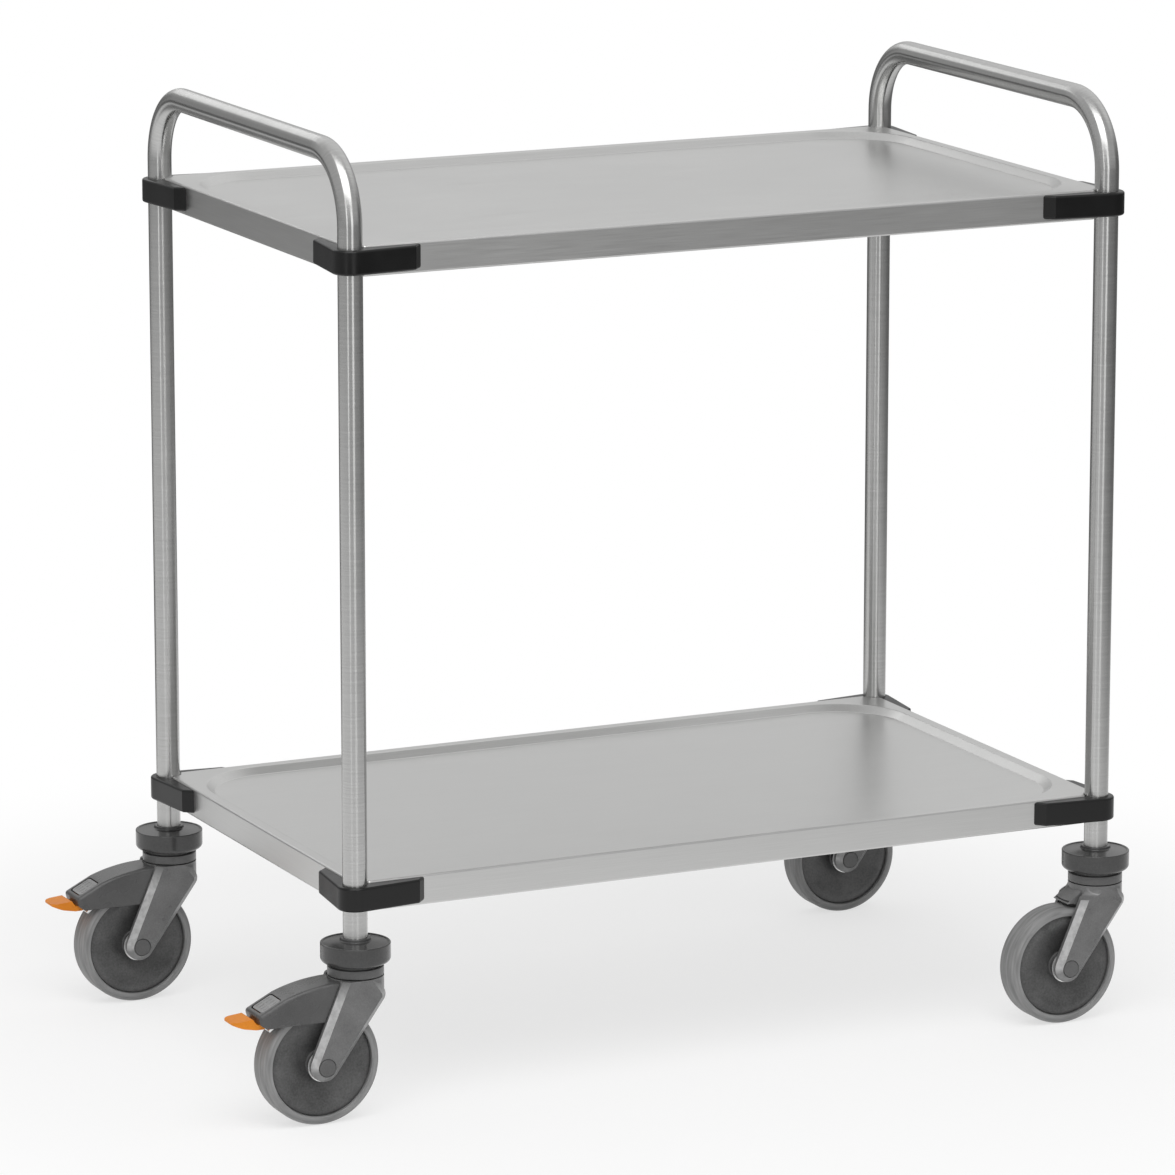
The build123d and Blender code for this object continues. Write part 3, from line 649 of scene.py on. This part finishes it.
def shelf(name, node):
    """One shelf with its gauge, in the place of its CAD node."""
    quarter = [pi / 2 * i / STEPS for i in range(STEPS + 1)]
    hem = [(SKIRT_BEND * (1 - cos(a)), SKIRT_BEND * (1 - sin(a)) - SKIRT_HEIGHT) for a in quarter]
    top = [(SKIRT_BEND * (1 - cos(a)), SKIRT_BEND * (sin(a) - 1)) for a in quarter]
    section = [(SHEET + SKIRT_FLANGE, -SKIRT_HEIGHT)] + hem[::-1] + top
    slope = atan2(WELL_DEPTH, WELL_RUN)
    lead = WELL_BEND * tan(slope / 2)
    part = [slope * i / STEPS for i in range(STEPS + 1)]
    mouth = [(WELL_BEND * sin(a) - lead, WELL_BEND * (cos(a) - 1)) for a in part]
    foot = [
        (WELL_RUN + lead - WELL_BEND * sin(a), WELL_BEND * (1 - cos(a)) - WELL_DEPTH)
        for a in reversed(part)
    ]
    bm = bmesh.new()
    skirt = bands(bm, [(skirt_loop(inset), z) for inset, z in section])
    well = bands(bm, [(well_loop(inset), z) for inset, z in mouth + foot])
    bm.faces.new(well[-1])
    rim = loop_edges(bm, skirt[-1]) + loop_edges(bm, well[0])
    bmesh.ops.triangle_fill(bm, edges=rim, use_beauty=True, normal=(0, 0, 1))
    low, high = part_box(node)
    item = piece(name, bm, Vector(((low.x + high.x) / 2, (low.y + high.y) / 2, high.z)))
    gauge = item.modifiers.new("gauge", "SOLIDIFY")
    gauge.thickness = SHEET * MM
    gauge.offset = -1
    return settle(item)


for level in ("upper", "lower"):
    tray = shelf(f"{level}_tray", f"{level}_shelf")
    dress(tray, brushed_sheet, "stainless_sheet", "trolley_frame", f"{level}_shelf")
    print(tray.name, len(tray.data.polygons), "faces")

# %% [markdown]
# ## Corner caps
#
# A black moulding wraps the outside of each shelf corner and clamps the post. It is cored out from
# below, with ribs where the screws go in. Boolean cuts made that shape well in CAD. What it lacks are
# the small radii that every mould leaves on its edges, and without these an edge catches no light. So
# a copy of the CAD mesh is merged, its flat faces are joined again, and a Bevel modifier rounds every
# sharp edge. Forks, hoods and pedals further down are softened in the same way.

# %% Soften CAD meshes
FLAT_ANGLE = radians(0.5)
MERGE_GAP = 0.002
CAP_SOFT = 0.4
SOFT_STEPS = 3


def merged(mesh, name):
    """An object from a mesh whose loose triangles are joined into clean faces."""
    bm = bmesh.new()
    bm.from_mesh(mesh)
    bmesh.ops.remove_doubles(bm, verts=bm.verts, dist=MERGE_GAP * MM)
    bmesh.ops.dissolve_limit(bm, angle_limit=FLAT_ANGLE, verts=bm.verts, edges=bm.edges)
    made = bpy.data.meshes.new(name)
    bm.to_mesh(made)
    bm.free()
    return new_object(name, made)


def softened(node, name, radius, within=None):
    """A copy of a CAD node, trimmed to another object if one is given, with its sharp edges rounded."""
    item = merged(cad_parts[node].data, name)
    if within:
        trim = item.modifiers.new("trim", "BOOLEAN")
        trim.operation = "INTERSECT"
        trim.object = within
        trimmed = plain_mesh(item)
        bpy.data.objects.remove(item)
        item = merged(trimmed, name)
    soften = item.modifiers.new("soften", "BEVEL")
    soften.width = radius * MM
    soften.segments = SOFT_STEPS
    soften.limit_method = "ANGLE"
    soften.angle_limit = SHARP_ANGLE
    return settle(item)


for level in ("upper", "lower"):
    for corner in CORNERS:
        node = f"{level}_corner_cap_{corner}"
        cap = softened(node, f"{level}_{corner}_cap", CAP_SOFT)
        dress(cap, cap_black, "black_plastic", "trolley_frame", node)
print("caps:", 2 * len(CORNERS), "of", len(cap.data.polygons), "faces")

# %% [markdown]
# ## Turned pieces of the castors
#
# Bumper discs, swivel rings, wheel discs and treads are all round. A lathe would turn them from one
# profile, and so does this function: it draws the profile with its corners rounded, and repeats it
# round an axis. It also unrolls a UV map round the piece, in metres, for finishes that have to follow
# the turning.

# %% Lathe helpers
LATHE_SIDES = 96


def rounded(points, rounding):
    """A closed profile with the listed corners, {index: radius}, rounded to arcs."""
    made = []
    for i, corner in enumerate(points):
        radius = rounding.get(i)
        if not radius:
            made.append(corner)
            continue
        here = Vector(corner)
        back = (Vector(points[i - 1]) - here).normalized()
        ahead = (Vector(points[(i + 1) % len(points)]) - here).normalized()
        half = back.angle(ahead) / 2
        centre = here + (back + ahead).normalized() * (radius / sin(half))
        start = here + back * (radius / tan(half)) - centre
        end = here + ahead * (radius / tan(half)) - centre
        first = atan2(start.y, start.x)
        sweep = (atan2(end.y, end.x) - first + pi) % (2 * pi) - pi
        made += arc(centre, radius, first, first + sweep, STEPS)
    return made


def turned(profile, sides=LATHE_SIDES):
    """A bmesh turned about Z from a closed profile of (radius, height), with a UV map round it."""
    bm = bmesh.new()
    unrolled = bm.loops.layers.uv.new("round")
    rows = []
    for s in range(sides):
        turn = 2 * pi * s / sides
        rows.append([bm.verts.new((r * cos(turn), r * sin(turn), z)) for r, z in profile])
    length = [0.0]
    for (r1, z1), (r2, z2) in zip(profile, profile[1:] + profile[:1]):
        length.append(length[-1] + hypot(r2 - r1, z2 - z1) * MM)
    around = 2 * pi * max(r for r, z in profile) * MM / sides
    for s in range(sides):
        one, two = rows[s], rows[(s + 1) % sides]
        for i in range(len(profile)):
            j = (i + 1) % len(profile)
            made = bm.faces.new((one[i], two[i], two[j], one[j]))
            spots = ((s, i), (s + 1, i), (s + 1, i + 1), (s, i + 1))
            for loop, (u, v) in zip(made.loops, spots):
                loop[unrolled].uv = (u * around, length[v])
    bmesh.ops.recalc_face_normals(bm, faces=bm.faces)
    return bm


def on_axle(bm):
    """Turns a bmesh from the Z axis onto the axle, along Y."""
    bmesh.ops.rotate(bm, matrix=Matrix.Rotation(pi / 2, 3, "X"), verts=bm.verts)
    return bm


print("lathe ready")

# %% [markdown]
# ## Bumper discs and swivel rings
#
# Under each post sits a round bumper with a low collar for the tube, then a narrow neck and the ring
# of the swivel. The disc's crown falls a little to its rim, which ends in a fine raised lip. The
# inside of the lip draws the thin bright line round the front of it.

# %% Bumper discs and rings
COLLAR_WALL = 3.0
COLLAR_HEIGHT = 3.0
COLLAR_FOOT = 1.5
COLLAR_EDGE = 1.0
BUMPER_CROWN = 2.5
BUMPER_EDGE = 4.9
LIP_WIDTH = 2.2
LIP_HEIGHT = 0.7
TUBE_GAP = 0.1
NECK_STEP = 3.5
NECK_HEIGHT = 3.5
RING_EDGE = 0.8
STEM_RADIUS = 6.0


def bumper(corner):
    """The profile of a bumper disc, from its own CAD box."""
    low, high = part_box(f"bumper_disc_{corner}")
    radius = (high.x - low.x) / 2 / MM
    bottom, top = low.z / MM, high.z / MM - COLLAR_HEIGHT
    collar = TUBE_RADIUS + COLLAR_WALL
    rim = top - BUMPER_CROWN + LIP_HEIGHT
    points = [
        (STEM_RADIUS, bottom),
        (radius, bottom),
        (radius, rim),
        (radius - LIP_WIDTH, rim),
        (radius - LIP_WIDTH - LIP_HEIGHT, rim - LIP_HEIGHT),
        (collar, top),
        (collar, top + COLLAR_HEIGHT),
        (TUBE_RADIUS + TUBE_GAP, top + COLLAR_HEIGHT),
        (TUBE_RADIUS + TUBE_GAP, top - COLLAR_HEIGHT),
        (STEM_RADIUS, top - COLLAR_HEIGHT),
    ]
    soft = {1: BUMPER_EDGE, 2: LIP_WIDTH / 2, 3: LIP_HEIGHT, 5: COLLAR_FOOT, 6: COLLAR_EDGE}
    return rounded(points, soft)


def ring(corner):
    """The profile of a swivel ring with the neck above it, from its own CAD box."""
    low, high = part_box(f"swivel_ring_{corner}")
    radius = (high.x - low.x) / 2 / MM
    bottom, top = low.z / MM, high.z / MM
    shoulder = top - NECK_HEIGHT
    points = [
        (STEM_RADIUS, bottom),
        (radius, bottom),
        (radius, shoulder),
        (radius - NECK_STEP, shoulder),
        (radius - NECK_STEP, top),
        (STEM_RADIUS, top),
    ]
    return rounded(points, {1: RING_EDGE, 2: RING_EDGE})


for corner, post in POSTS.items():
    foot = Vector((post.x, post.y, 0))
    for name, profile, finish, node in (
        ("bumper", bumper(corner), bumper_black, "bumper_disc"),
        ("swivel_collar", ring(corner), ring_grey, "swivel_ring"),
    ):
        item = settle(piece(f"{corner}_{name}", turned(profile), foot))
        dress(item, finish, "castor_plastic", "trolley_frame", f"{node}_{corner}")
print("discs and rings:", 2 * len(POSTS))

# %% [markdown]
# ## Wheels
#
# A wheel is a dark disc with a soft tread bonded round it. The disc swells to a low round crown and
# falls from it to the hub, and to the crisp groove beside the tread. Both are turned on the lathe and
# then laid onto the axle.

# %% Wheels
TREAD_THICKNESS = 9.0
TREAD_EDGE = 5.5
TREAD_SIDES = 160
GROOVE = 0.5
CORE_SHY = 0.8
CORE_CROWN = 46.5
CORE_DISH = 9.0
CORE_ROLL = 2.0
CORE_SIDES = 128
HUB_RADIUS = 12.0
HUB_FLARE = 1.5
HUB_EDGE = 0.8
HUB_FOOT = 2.0
BUSH_RADIUS = 9.0


def mirrored(half):
    """A closed profile from its half above the middle plane."""
    return half + [(r, -z) for r, z in reversed(half)]


def both_halves(soft, points):
    """The rounding of a mirrored profile, from that of its first half."""
    return {**soft, **{len(points) - 1 - i: radius for i, radius in soft.items()}}


def tread_profile(corner):
    """The tread's section: rounded shoulders, and a small step that leaves the groove."""
    low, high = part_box(f"wheel_tread_{corner}")
    radius, half = (high.z - low.z) / 2 / MM, (high.y - low.y) / 2 / MM
    inner = radius - TREAD_THICKNESS
    points = mirrored([(inner, half - 3 * GROOVE), (inner + GROOVE, half), (radius, half)])
    return rounded(points, both_halves({1: GROOVE / 2, 2: TREAD_EDGE}, points))


def core_profile(corner):
    """The disc's section: hub, dish, crown and the rolled edge beside the groove."""
    low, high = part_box(f"wheel_core_{corner}")
    radius, hub = (high.z - low.z) / 2 / MM, (high.y - low.y) / 2 / MM
    low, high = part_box(f"wheel_tread_{corner}")
    half = (high.y - low.y) / 2 / MM - CORE_SHY
    points = mirrored(
        [
            (BUSH_RADIUS, hub),
            (HUB_RADIUS, hub),
            (HUB_RADIUS + HUB_FLARE, half - CORE_DISH),
            (CORE_CROWN, half),
            (radius - GROOVE, half - CORE_ROLL),
            (radius - GROOVE / 10, half - CORE_ROLL - 3 * GROOVE),
        ]
    )
    soft = {1: HUB_EDGE, 2: HUB_FOOT, 3: CORE_CROWN / 4, 4: CORE_ROLL / 2}
    return rounded(points, both_halves(soft, points))


for corner, centre in AXLES.items():
    bm = on_axle(turned(tread_profile(corner), TREAD_SIDES))
    tread = settle(piece(f"{corner}_tread", bm, centre))
    dress(tread, tread_grey, "grey_rubber", f"wheel_{corner}", f"wheel_tread_{corner}")
    bm = on_axle(turned(core_profile(corner), CORE_SIDES))
    core = settle(piece(f"{corner}_wheel_disc", bm, centre))
    dress(core, core_grey, "wheel_core_plastic", f"wheel_{corner}", f"wheel_core_{corner}")
print("wheels:", len(AXLES), "of", len(tread.data.polygons) + len(core.data.polygons), "faces")

# %% [markdown]
# ## Forks, axles and brakes
#
# The moulded pieces of the castors are softened copies of the solids too, and so are the pressed shoe,
# the axle and its washers. The radius is what each real piece has: half a millimetre or more on a
# moulding, and only a broken edge on steel. A table names them all: CAD node, piece, finish, slot, body
# and radius. A fork without a brake also flares from its round head into the flat arms. A Boolean
# modifier gives it that: it keeps what lies within a bell, turned on the lathe.

# %% Forks, axles and brakes
BELL_GAP = 0.05
BELL_DROP = 6.5
BELL_REACH = 90.0
BELL_SLOPE = 1.3
BELL_ROUND = 10.0
BELL_MARGIN = 1.0
ON_ALL = (
    ("castor_fork", "fork", fork_grey, "castor_plastic", "castor", 0.6),
    ("axle", "axle", ring_grey, "castor_plastic", "castor", 0.3),
    ("hub_washers", "washers", zinc_plate, "zinc_steel", "castor", 0.2),
)
ON_BRAKED = (
    ("brake_housing", "hood", hood_grey, "castor_plastic", "castor", 0.5),
    ("brake_pedal", "pedal", pedal_orange, "orange_plastic", "pedal", 0.6),
    ("release_pad", "pad", pad_pale, "pale_plastic", "pedal", 0.5),
    ("brake_shoe", "shoe", zinc_plate, "zinc_steel", "pedal", 0.3),
)


def bell(corner):
    """A bell round the swivel: straight at the fork's head, then flared to clear the arms."""
    low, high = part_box(f"swivel_ring_{corner}")
    head = (high.x - low.x) / 2 / MM + BELL_GAP
    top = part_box(f"castor_fork_{corner}")[1].z / MM
    hem = top - BELL_DROP - (BELL_REACH - head) / BELL_SLOPE
    core, brim = STEM_RADIUS - BELL_MARGIN, top + BELL_MARGIN
    throat = [(core, brim), (head, brim), (head, top - BELL_DROP)]
    skirt = [(BELL_REACH, hem), (BELL_REACH, 0), (core, 0)]
    profile = rounded(throat + skirt, {2: BELL_ROUND})
    return piece(f"{corner}_bell", turned(profile), Vector((POSTS[corner].x, POSTS[corner].y, 0)))


for table, corners in ((ON_ALL, CORNERS), (ON_BRAKED, BRAKED)):
    for corner in corners:
        for node, part, finish, slot, body, radius in table:
            flared = part == "fork" and corner not in BRAKED
            mould = bell(corner) if flared else None
            item = softened(f"{node}_{corner}", f"{corner}_{part}", radius, mould)
            if flared:
                bpy.data.objects.remove(mould)
            dress(item, finish, slot, f"{body}_{corner}", f"{node}_{corner}")
    print(len(table) * len(corners), "softened, the last of", len(item.data.polygons), "faces")

# %% [markdown]
# ## Ribs on the release pads
#
# The top of each pad has two fields of fine ribs, which give a shoe some grip. One rib could be drawn
# and copied by hand, but a pattern that repeats is a job for Geometry Nodes: the tree sweeps one thin
# bar, and puts a copy on each point of a grid. The widest face of the CAD pad says where the grid lies.

# %% Rib tree
RIB_FIELDS = 2
RIB_SIDES = 12

rib_tree = bpy.data.node_groups.new("pad ribs", "GeometryNodeTree")
inlet(rib_tree, "Pad", "Geometry")
RIB_LENGTH = inlet(rib_tree, "Rib Length", "Float")
RIB_RADIUS = inlet(rib_tree, "Rib Radius", "Float")
FIELD_STEP = inlet(rib_tree, "Field Step", "Float")
ROWS_WIDTH = inlet(rib_tree, "Rows Width", "Float")
ROWS = inlet(rib_tree, "Rows", "Int")
RIB_FINISH = inlet(rib_tree, "Finish", "Material")
rib_tree.interface.new_socket("Ribs", in_out="OUTPUT", socket_type="NodeSocketGeometry")
given = add(rib_tree, "NodeGroupInput")
half = add(rib_tree, "ShaderNodeMath", [given.outputs["Rib Length"], -0.5], operation="MULTIPLY")
start = add(rib_tree, "ShaderNodeCombineXYZ", {"X": half})
line = add(
    rib_tree,
    "GeometryNodeCurvePrimitiveLine",
    {"Start": start, "Direction": (1, 0, 0), "Length": given.outputs["Rib Length"]},
    mode="DIRECTION",
)
section = add(
    rib_tree,
    "GeometryNodeCurvePrimitiveCircle",
    {"Radius": given.outputs["Rib Radius"], "Resolution": RIB_SIDES},
)
bar = add(
    rib_tree,
    "GeometryNodeCurveToMesh",
    {"Curve": line, "Profile Curve": section, "Fill Caps": True},
)
grid = add(
    rib_tree,
    "GeometryNodeMeshGrid",
    {
        "Size X": given.outputs["Field Step"],
        "Size Y": given.outputs["Rows Width"],
        "Vertices X": RIB_FIELDS,
        "Vertices Y": given.outputs["Rows"],
    },
)
copies = add(rib_tree, "GeometryNodeInstanceOnPoints", {"Points": grid, "Instance": bar})
single = add(rib_tree, "GeometryNodeRealizeInstances", [copies])
coloured = add(
    rib_tree,
    "GeometryNodeSetMaterial",
    {"Geometry": single, "Material": given.outputs["Finish"]},
)
add(rib_tree, "NodeGroupOutput", [coloured])
print("tree:", rib_tree.name, len(rib_tree.nodes), "nodes")

# %% Ribs on both pads
RIB_MARGIN = 3.6
RIB_DIVIDER = 2.6
RIB_SIZE = 0.7
RIB_ROWS = 4
UPWARD = 0.5
SAME_WAY = 0.999


def widest_face(node):
    """The place of a CAD node's widest face that looks up, with its length and width."""
    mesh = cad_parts[node].data
    upward = [face for face in mesh.polygons if face.normal.z > UPWARD]
    normal = max(upward, key=lambda face: face.area).normal.copy()
    across = Vector((0, 1, 0))
    along = across.cross(normal)
    flat = [face for face in upward if face.normal.dot(normal) > SAME_WAY]
    corners = [mesh.vertices[i].co for face in flat for i in face.vertices]
    spans = []
    for axis in (along, across, normal):
        reach = [corner.dot(axis) for corner in corners]
        spans.append((min(reach), max(reach)))
    turn = Matrix((along, across, normal)).transposed()
    centre = turn @ Vector([(low + high) / 2 for low, high in spans])
    size = [(high - low) / MM for low, high in spans[:2]]
    return Matrix.Translation(centre) @ turn.to_4x4(), size


for corner in BRAKED:
    place, (length, width) = widest_face(f"release_pad_{corner}")
    rib_length = (length - 2 * RIB_MARGIN - RIB_DIVIDER) / RIB_FIELDS
    item = new_object(f"{corner}_pad_ribs", bpy.data.meshes.new(f"{corner}_pad_ribs"))
    repeat = item.modifiers.new("repeat", "NODES")
    repeat.node_group = rib_tree
    repeat[RIB_LENGTH] = rib_length * MM
    repeat[RIB_RADIUS] = RIB_SIZE * MM
    repeat[FIELD_STEP] = (rib_length + RIB_DIVIDER) * MM
    repeat[ROWS_WIDTH] = (width - 2 * RIB_MARGIN) * MM
    repeat[ROWS] = RIB_ROWS
    repeat[RIB_FINISH] = pad_pale
    item = settle(item)
    item.data.transform(place)
    dress(item, pad_pale, "pale_plastic", f"pedal_{corner}")
    print(item.name, "on a face of", round(length, 1), "by", round(width, 1), "mm")

# %% [markdown]
# ## Hidden pieces
#
# Screws, stems, sleeves, balls, bushes and pins show only through gaps, or when the trolley is turned
# over. Their CAD meshes are right as they are, so they only get a finish in their material slots.

# %% Finish the hidden CAD nodes
HIDDEN = {
    "corner_cap_screws": zinc_plate,
    "castor_stems": zinc_plate,
    "stem_expanders": cap_black,
    "swivel_balls": ball_steel,
    "wheel_bush": core_grey,
    "pedal_pin": zinc_plate,
}
for name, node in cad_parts.items():
    for start, finish in HIDDEN.items():
        if name.startswith(start):
            node.data.materials.clear()
            node.data.materials.append(finish)
shown = [name for name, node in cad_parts.items() if not node.hide_render]
print("CAD nodes that stay:", len(shown))

# %% [markdown]
# ## Floor
#
# The trolley stands in a white studio. The floor is diffuse, so it takes the shadow, mixed with a white
# glow for rays that come from the camera or from a mirror. Bare metal shows its surroundings, so what
# its mirrors see of the floor matters as much as the lamps. The glow that mirrors see is painted: bright
# round a pool of light at the left, and falling off to grey far away, as in a real studio. The upper
# shelf's skirt mirrors the far floor and looks darker than the lower one. The painted glow is dark
# behind the trolley as well, except far to the left, and that darkens the lower half of the handles.

# %% Floor
FLOOR_SIZE = 40.0
FLOOR_GLOW = 0.64
SHADOW_REACH = 0.6
MIRROR_SHARE = 0.9
# The pool of light, the dark floor behind and the bright floor far left are painted into the glow.
LIGHT_POOL = (-1.3, 0.4, 0.0)
# Each of these says from where to where the glow changes, in metres, and its strength at both ends.
POOL_FADE = (1.9, 4.5, 1.05, 0.12)
DARK_BEHIND = (1.05, 1.5, 1.1, 0.12)
BRIGHT_LEFT = (-1.7, -1.2, 1.1, 0.0)

floor_white, tree, shader, place = new_finish("matt white floor", Roughness=0.9)
feed(tree, shader, {"Base Color": linear("#f7f7f7")})
rays = add(tree, "ShaderNodeLightPath")
far = add(tree, "ShaderNodeVectorMath", [place.outputs["Object"]], operation="LENGTH")
pool = add(tree, "ShaderNodeVectorMath", [place.outputs["Object"], LIGHT_POOL], operation="DISTANCE")
fade = add(
    tree,
    "ShaderNodeMapRange",
    [pool.outputs["Value"], *POOL_FADE],
    interpolation_type="SMOOTHSTEP",
)
spot = add(tree, "ShaderNodeSeparateXYZ", [place.outputs["Object"]])
behind = add(tree, "ShaderNodeMapRange", [spot.outputs["Y"], *DARK_BEHIND])
beside = add(tree, "ShaderNodeMapRange", [spot.outputs["X"], *BRIGHT_LEFT])
limit = add(tree, "ShaderNodeMath", [behind, beside], operation="MAXIMUM")
fade = add(tree, "ShaderNodeMath", [fade, limit], operation="MINIMUM")
mirror_ray = add(
    tree,
    "ShaderNodeMath",
    [rays.outputs["Is Glossy Ray"], rays.outputs["Is Transmission Ray"]],
    operation="MAXIMUM",
)
glow = add(tree, "ShaderNodeMix", {0: mirror_ray, 2: 1.0, 3: fade}, data_type="FLOAT")
seen = add(
    tree, "ShaderNodeMath", [rays.outputs["Is Camera Ray"], mirror_ray], operation="MAXIMUM"
)
lit = add(
    tree,
    "ShaderNodeMapRange",
    [far.outputs["Value"], SHADOW_REACH, 2 * SHADOW_REACH, FLOOR_GLOW, 1.0],
    interpolation_type="SMOOTHSTEP",
)
share = add(tree, "ShaderNodeMix", {0: mirror_ray, 2: lit, 3: MIRROR_SHARE}, data_type="FLOAT")
amount = add(tree, "ShaderNodeMath", [seen, share], operation="MULTIPLY")
white = add(tree, "ShaderNodeEmission", {"Strength": glow})
both = add(tree, "ShaderNodeMixShader", [amount, shader, white])
feed(tree, tree.nodes["Material Output"], {"Surface": both})

bm = bmesh.new()
bmesh.ops.create_grid(bm, x_segments=1, y_segments=1, size=FLOOR_SIZE / 2 / MM)
floor = piece("floor", bm)
floor.data.materials.append(floor_white)
print("floor:", FLOOR_SIZE, "m")

# %% [markdown]
# ## World and lamps
#
# The room is white to the camera and an even grey to everything else, but for the far right wall. Metal
# sees that wall dark below and white above, so the shelves and tubes get a shade that runs across them.
# One large soft lamp over the front left gives the shadow. Two strips and a panel show in mirrors alone:
# they draw the bright lines down the tubes and along the handles.

# %% World and lamps
ROOM_LIGHT = 0.62
WALL_LIGHT = (0.14, 1.0)
WALL_RISE = (-0.05, 0.62)
WALL_LEAN = 0.35
WALL_SIDE = (0.2, 0.7)

world = bpy.data.worlds.new("studio")
bpy.context.scene.world = world
world.use_nodes = True
tree = world.node_tree
rays = add(tree, "ShaderNodeLightPath")
seen = add(
    tree,
    "ShaderNodeMath",
    [rays.outputs["Is Camera Ray"], rays.outputs["Is Transmission Ray"]],
    operation="MAXIMUM",
)
away = add(tree, "ShaderNodeSeparateXYZ", [add(tree, "ShaderNodeTexCoord").outputs["Generated"]])
right = add(tree, "ShaderNodeMath", [away.outputs["X"], away.outputs["Y"]], operation="MULTIPLY")
lean = add(
    tree, "ShaderNodeMath", [right, WALL_LEAN, away.outputs["Z"]], operation="MULTIPLY_ADD"
)
wall = add(
    tree,
    "ShaderNodeMapRange",
    [lean, *WALL_RISE, *WALL_LIGHT],
    interpolation_type="SMOOTHSTEP",
)
across = add(tree, "ShaderNodeMath", [away.outputs["X"], away.outputs["Y"]], operation="ADD")
behind = add(tree, "ShaderNodeMapRange", [across, *WALL_SIDE])
mirrored_wall = add(
    tree, "ShaderNodeMath", [behind, rays.outputs["Is Glossy Ray"]], operation="MULTIPLY"
)
room = add(tree, "ShaderNodeMix", {0: mirrored_wall, 2: ROOM_LIGHT, 3: wall}, data_type="FLOAT")
level = add(tree, "ShaderNodeMix", {0: seen, 2: room, 3: 1.0}, data_type="FLOAT")
feed(tree, tree.nodes["Background"], {"Color": (1, 1, 1, 1), "Strength": level})


def softbox(name, place, aim, size, power, mirrors_only=False):
    """A rectangular lamp that looks at a point, and may show in mirrors alone."""
    lamp = bpy.data.lights.new(name, "AREA")
    lamp.shape = "RECTANGLE"
    lamp.size, lamp.size_y = size
    lamp.energy = power
    item = new_object(name, lamp)
    item.location = place
    item.rotation_euler = (Vector(aim) - Vector(place)).to_track_quat("-Z", "Y").to_euler()
    item.visible_camera = False
    item.visible_diffuse = not mirrors_only
    return item


softbox("overhead", (-0.8, -1.7, 3.3), (0, 0, 0.4), (3.0, 2.4), 62)
softbox("left strip", (-2.23, -2.0, 1.0), (-0.3, -0.2, 0.6), (0.45, 1.8), 3.2, mirrors_only=True)
softbox("front strip", (-0.4, -3.2, 0.95), (0, 0, 0.6), (0.9, 1.8), 7, mirrors_only=True)
softbox("back panel", (-0.4, 2.9, 2.35), (-0.3, 0, 0.97), (1.8, 0.5), 4, mirrors_only=True)

# %% [markdown]
# ## Camera
#
# The camera stands where the photographer stood: at the front left, with a long lens that looks down a
# little. Its place is measured in metres from the middle of the shelves on the floor.

# %% Camera
CAMERA_FROM_SHELF = Vector((-2.92637, -6.04738, 1.92457))
CAMERA_YAW = radians(-25.4445)
CAMERA_PITCH = radians(12.354)
CAMERA_LENS = 200.815
CAMERA_SENSOR = 36.0

lens = bpy.data.cameras.new("camera")
lens.lens = CAMERA_LENS
lens.sensor_width = CAMERA_SENSOR
camera = new_object("camera", lens)
shelf_middle = middle("upper_shelf")
camera.location = CAMERA_FROM_SHELF + Vector((shelf_middle.x, shelf_middle.y, 0))
camera.rotation_euler = (pi / 2 - CAMERA_PITCH, 0, CAMERA_YAW)
bpy.context.scene.camera = camera
bpy.context.scene.view_settings.view_transform = "Standard"
print("camera at", [round(v, 3) for v in camera.location])
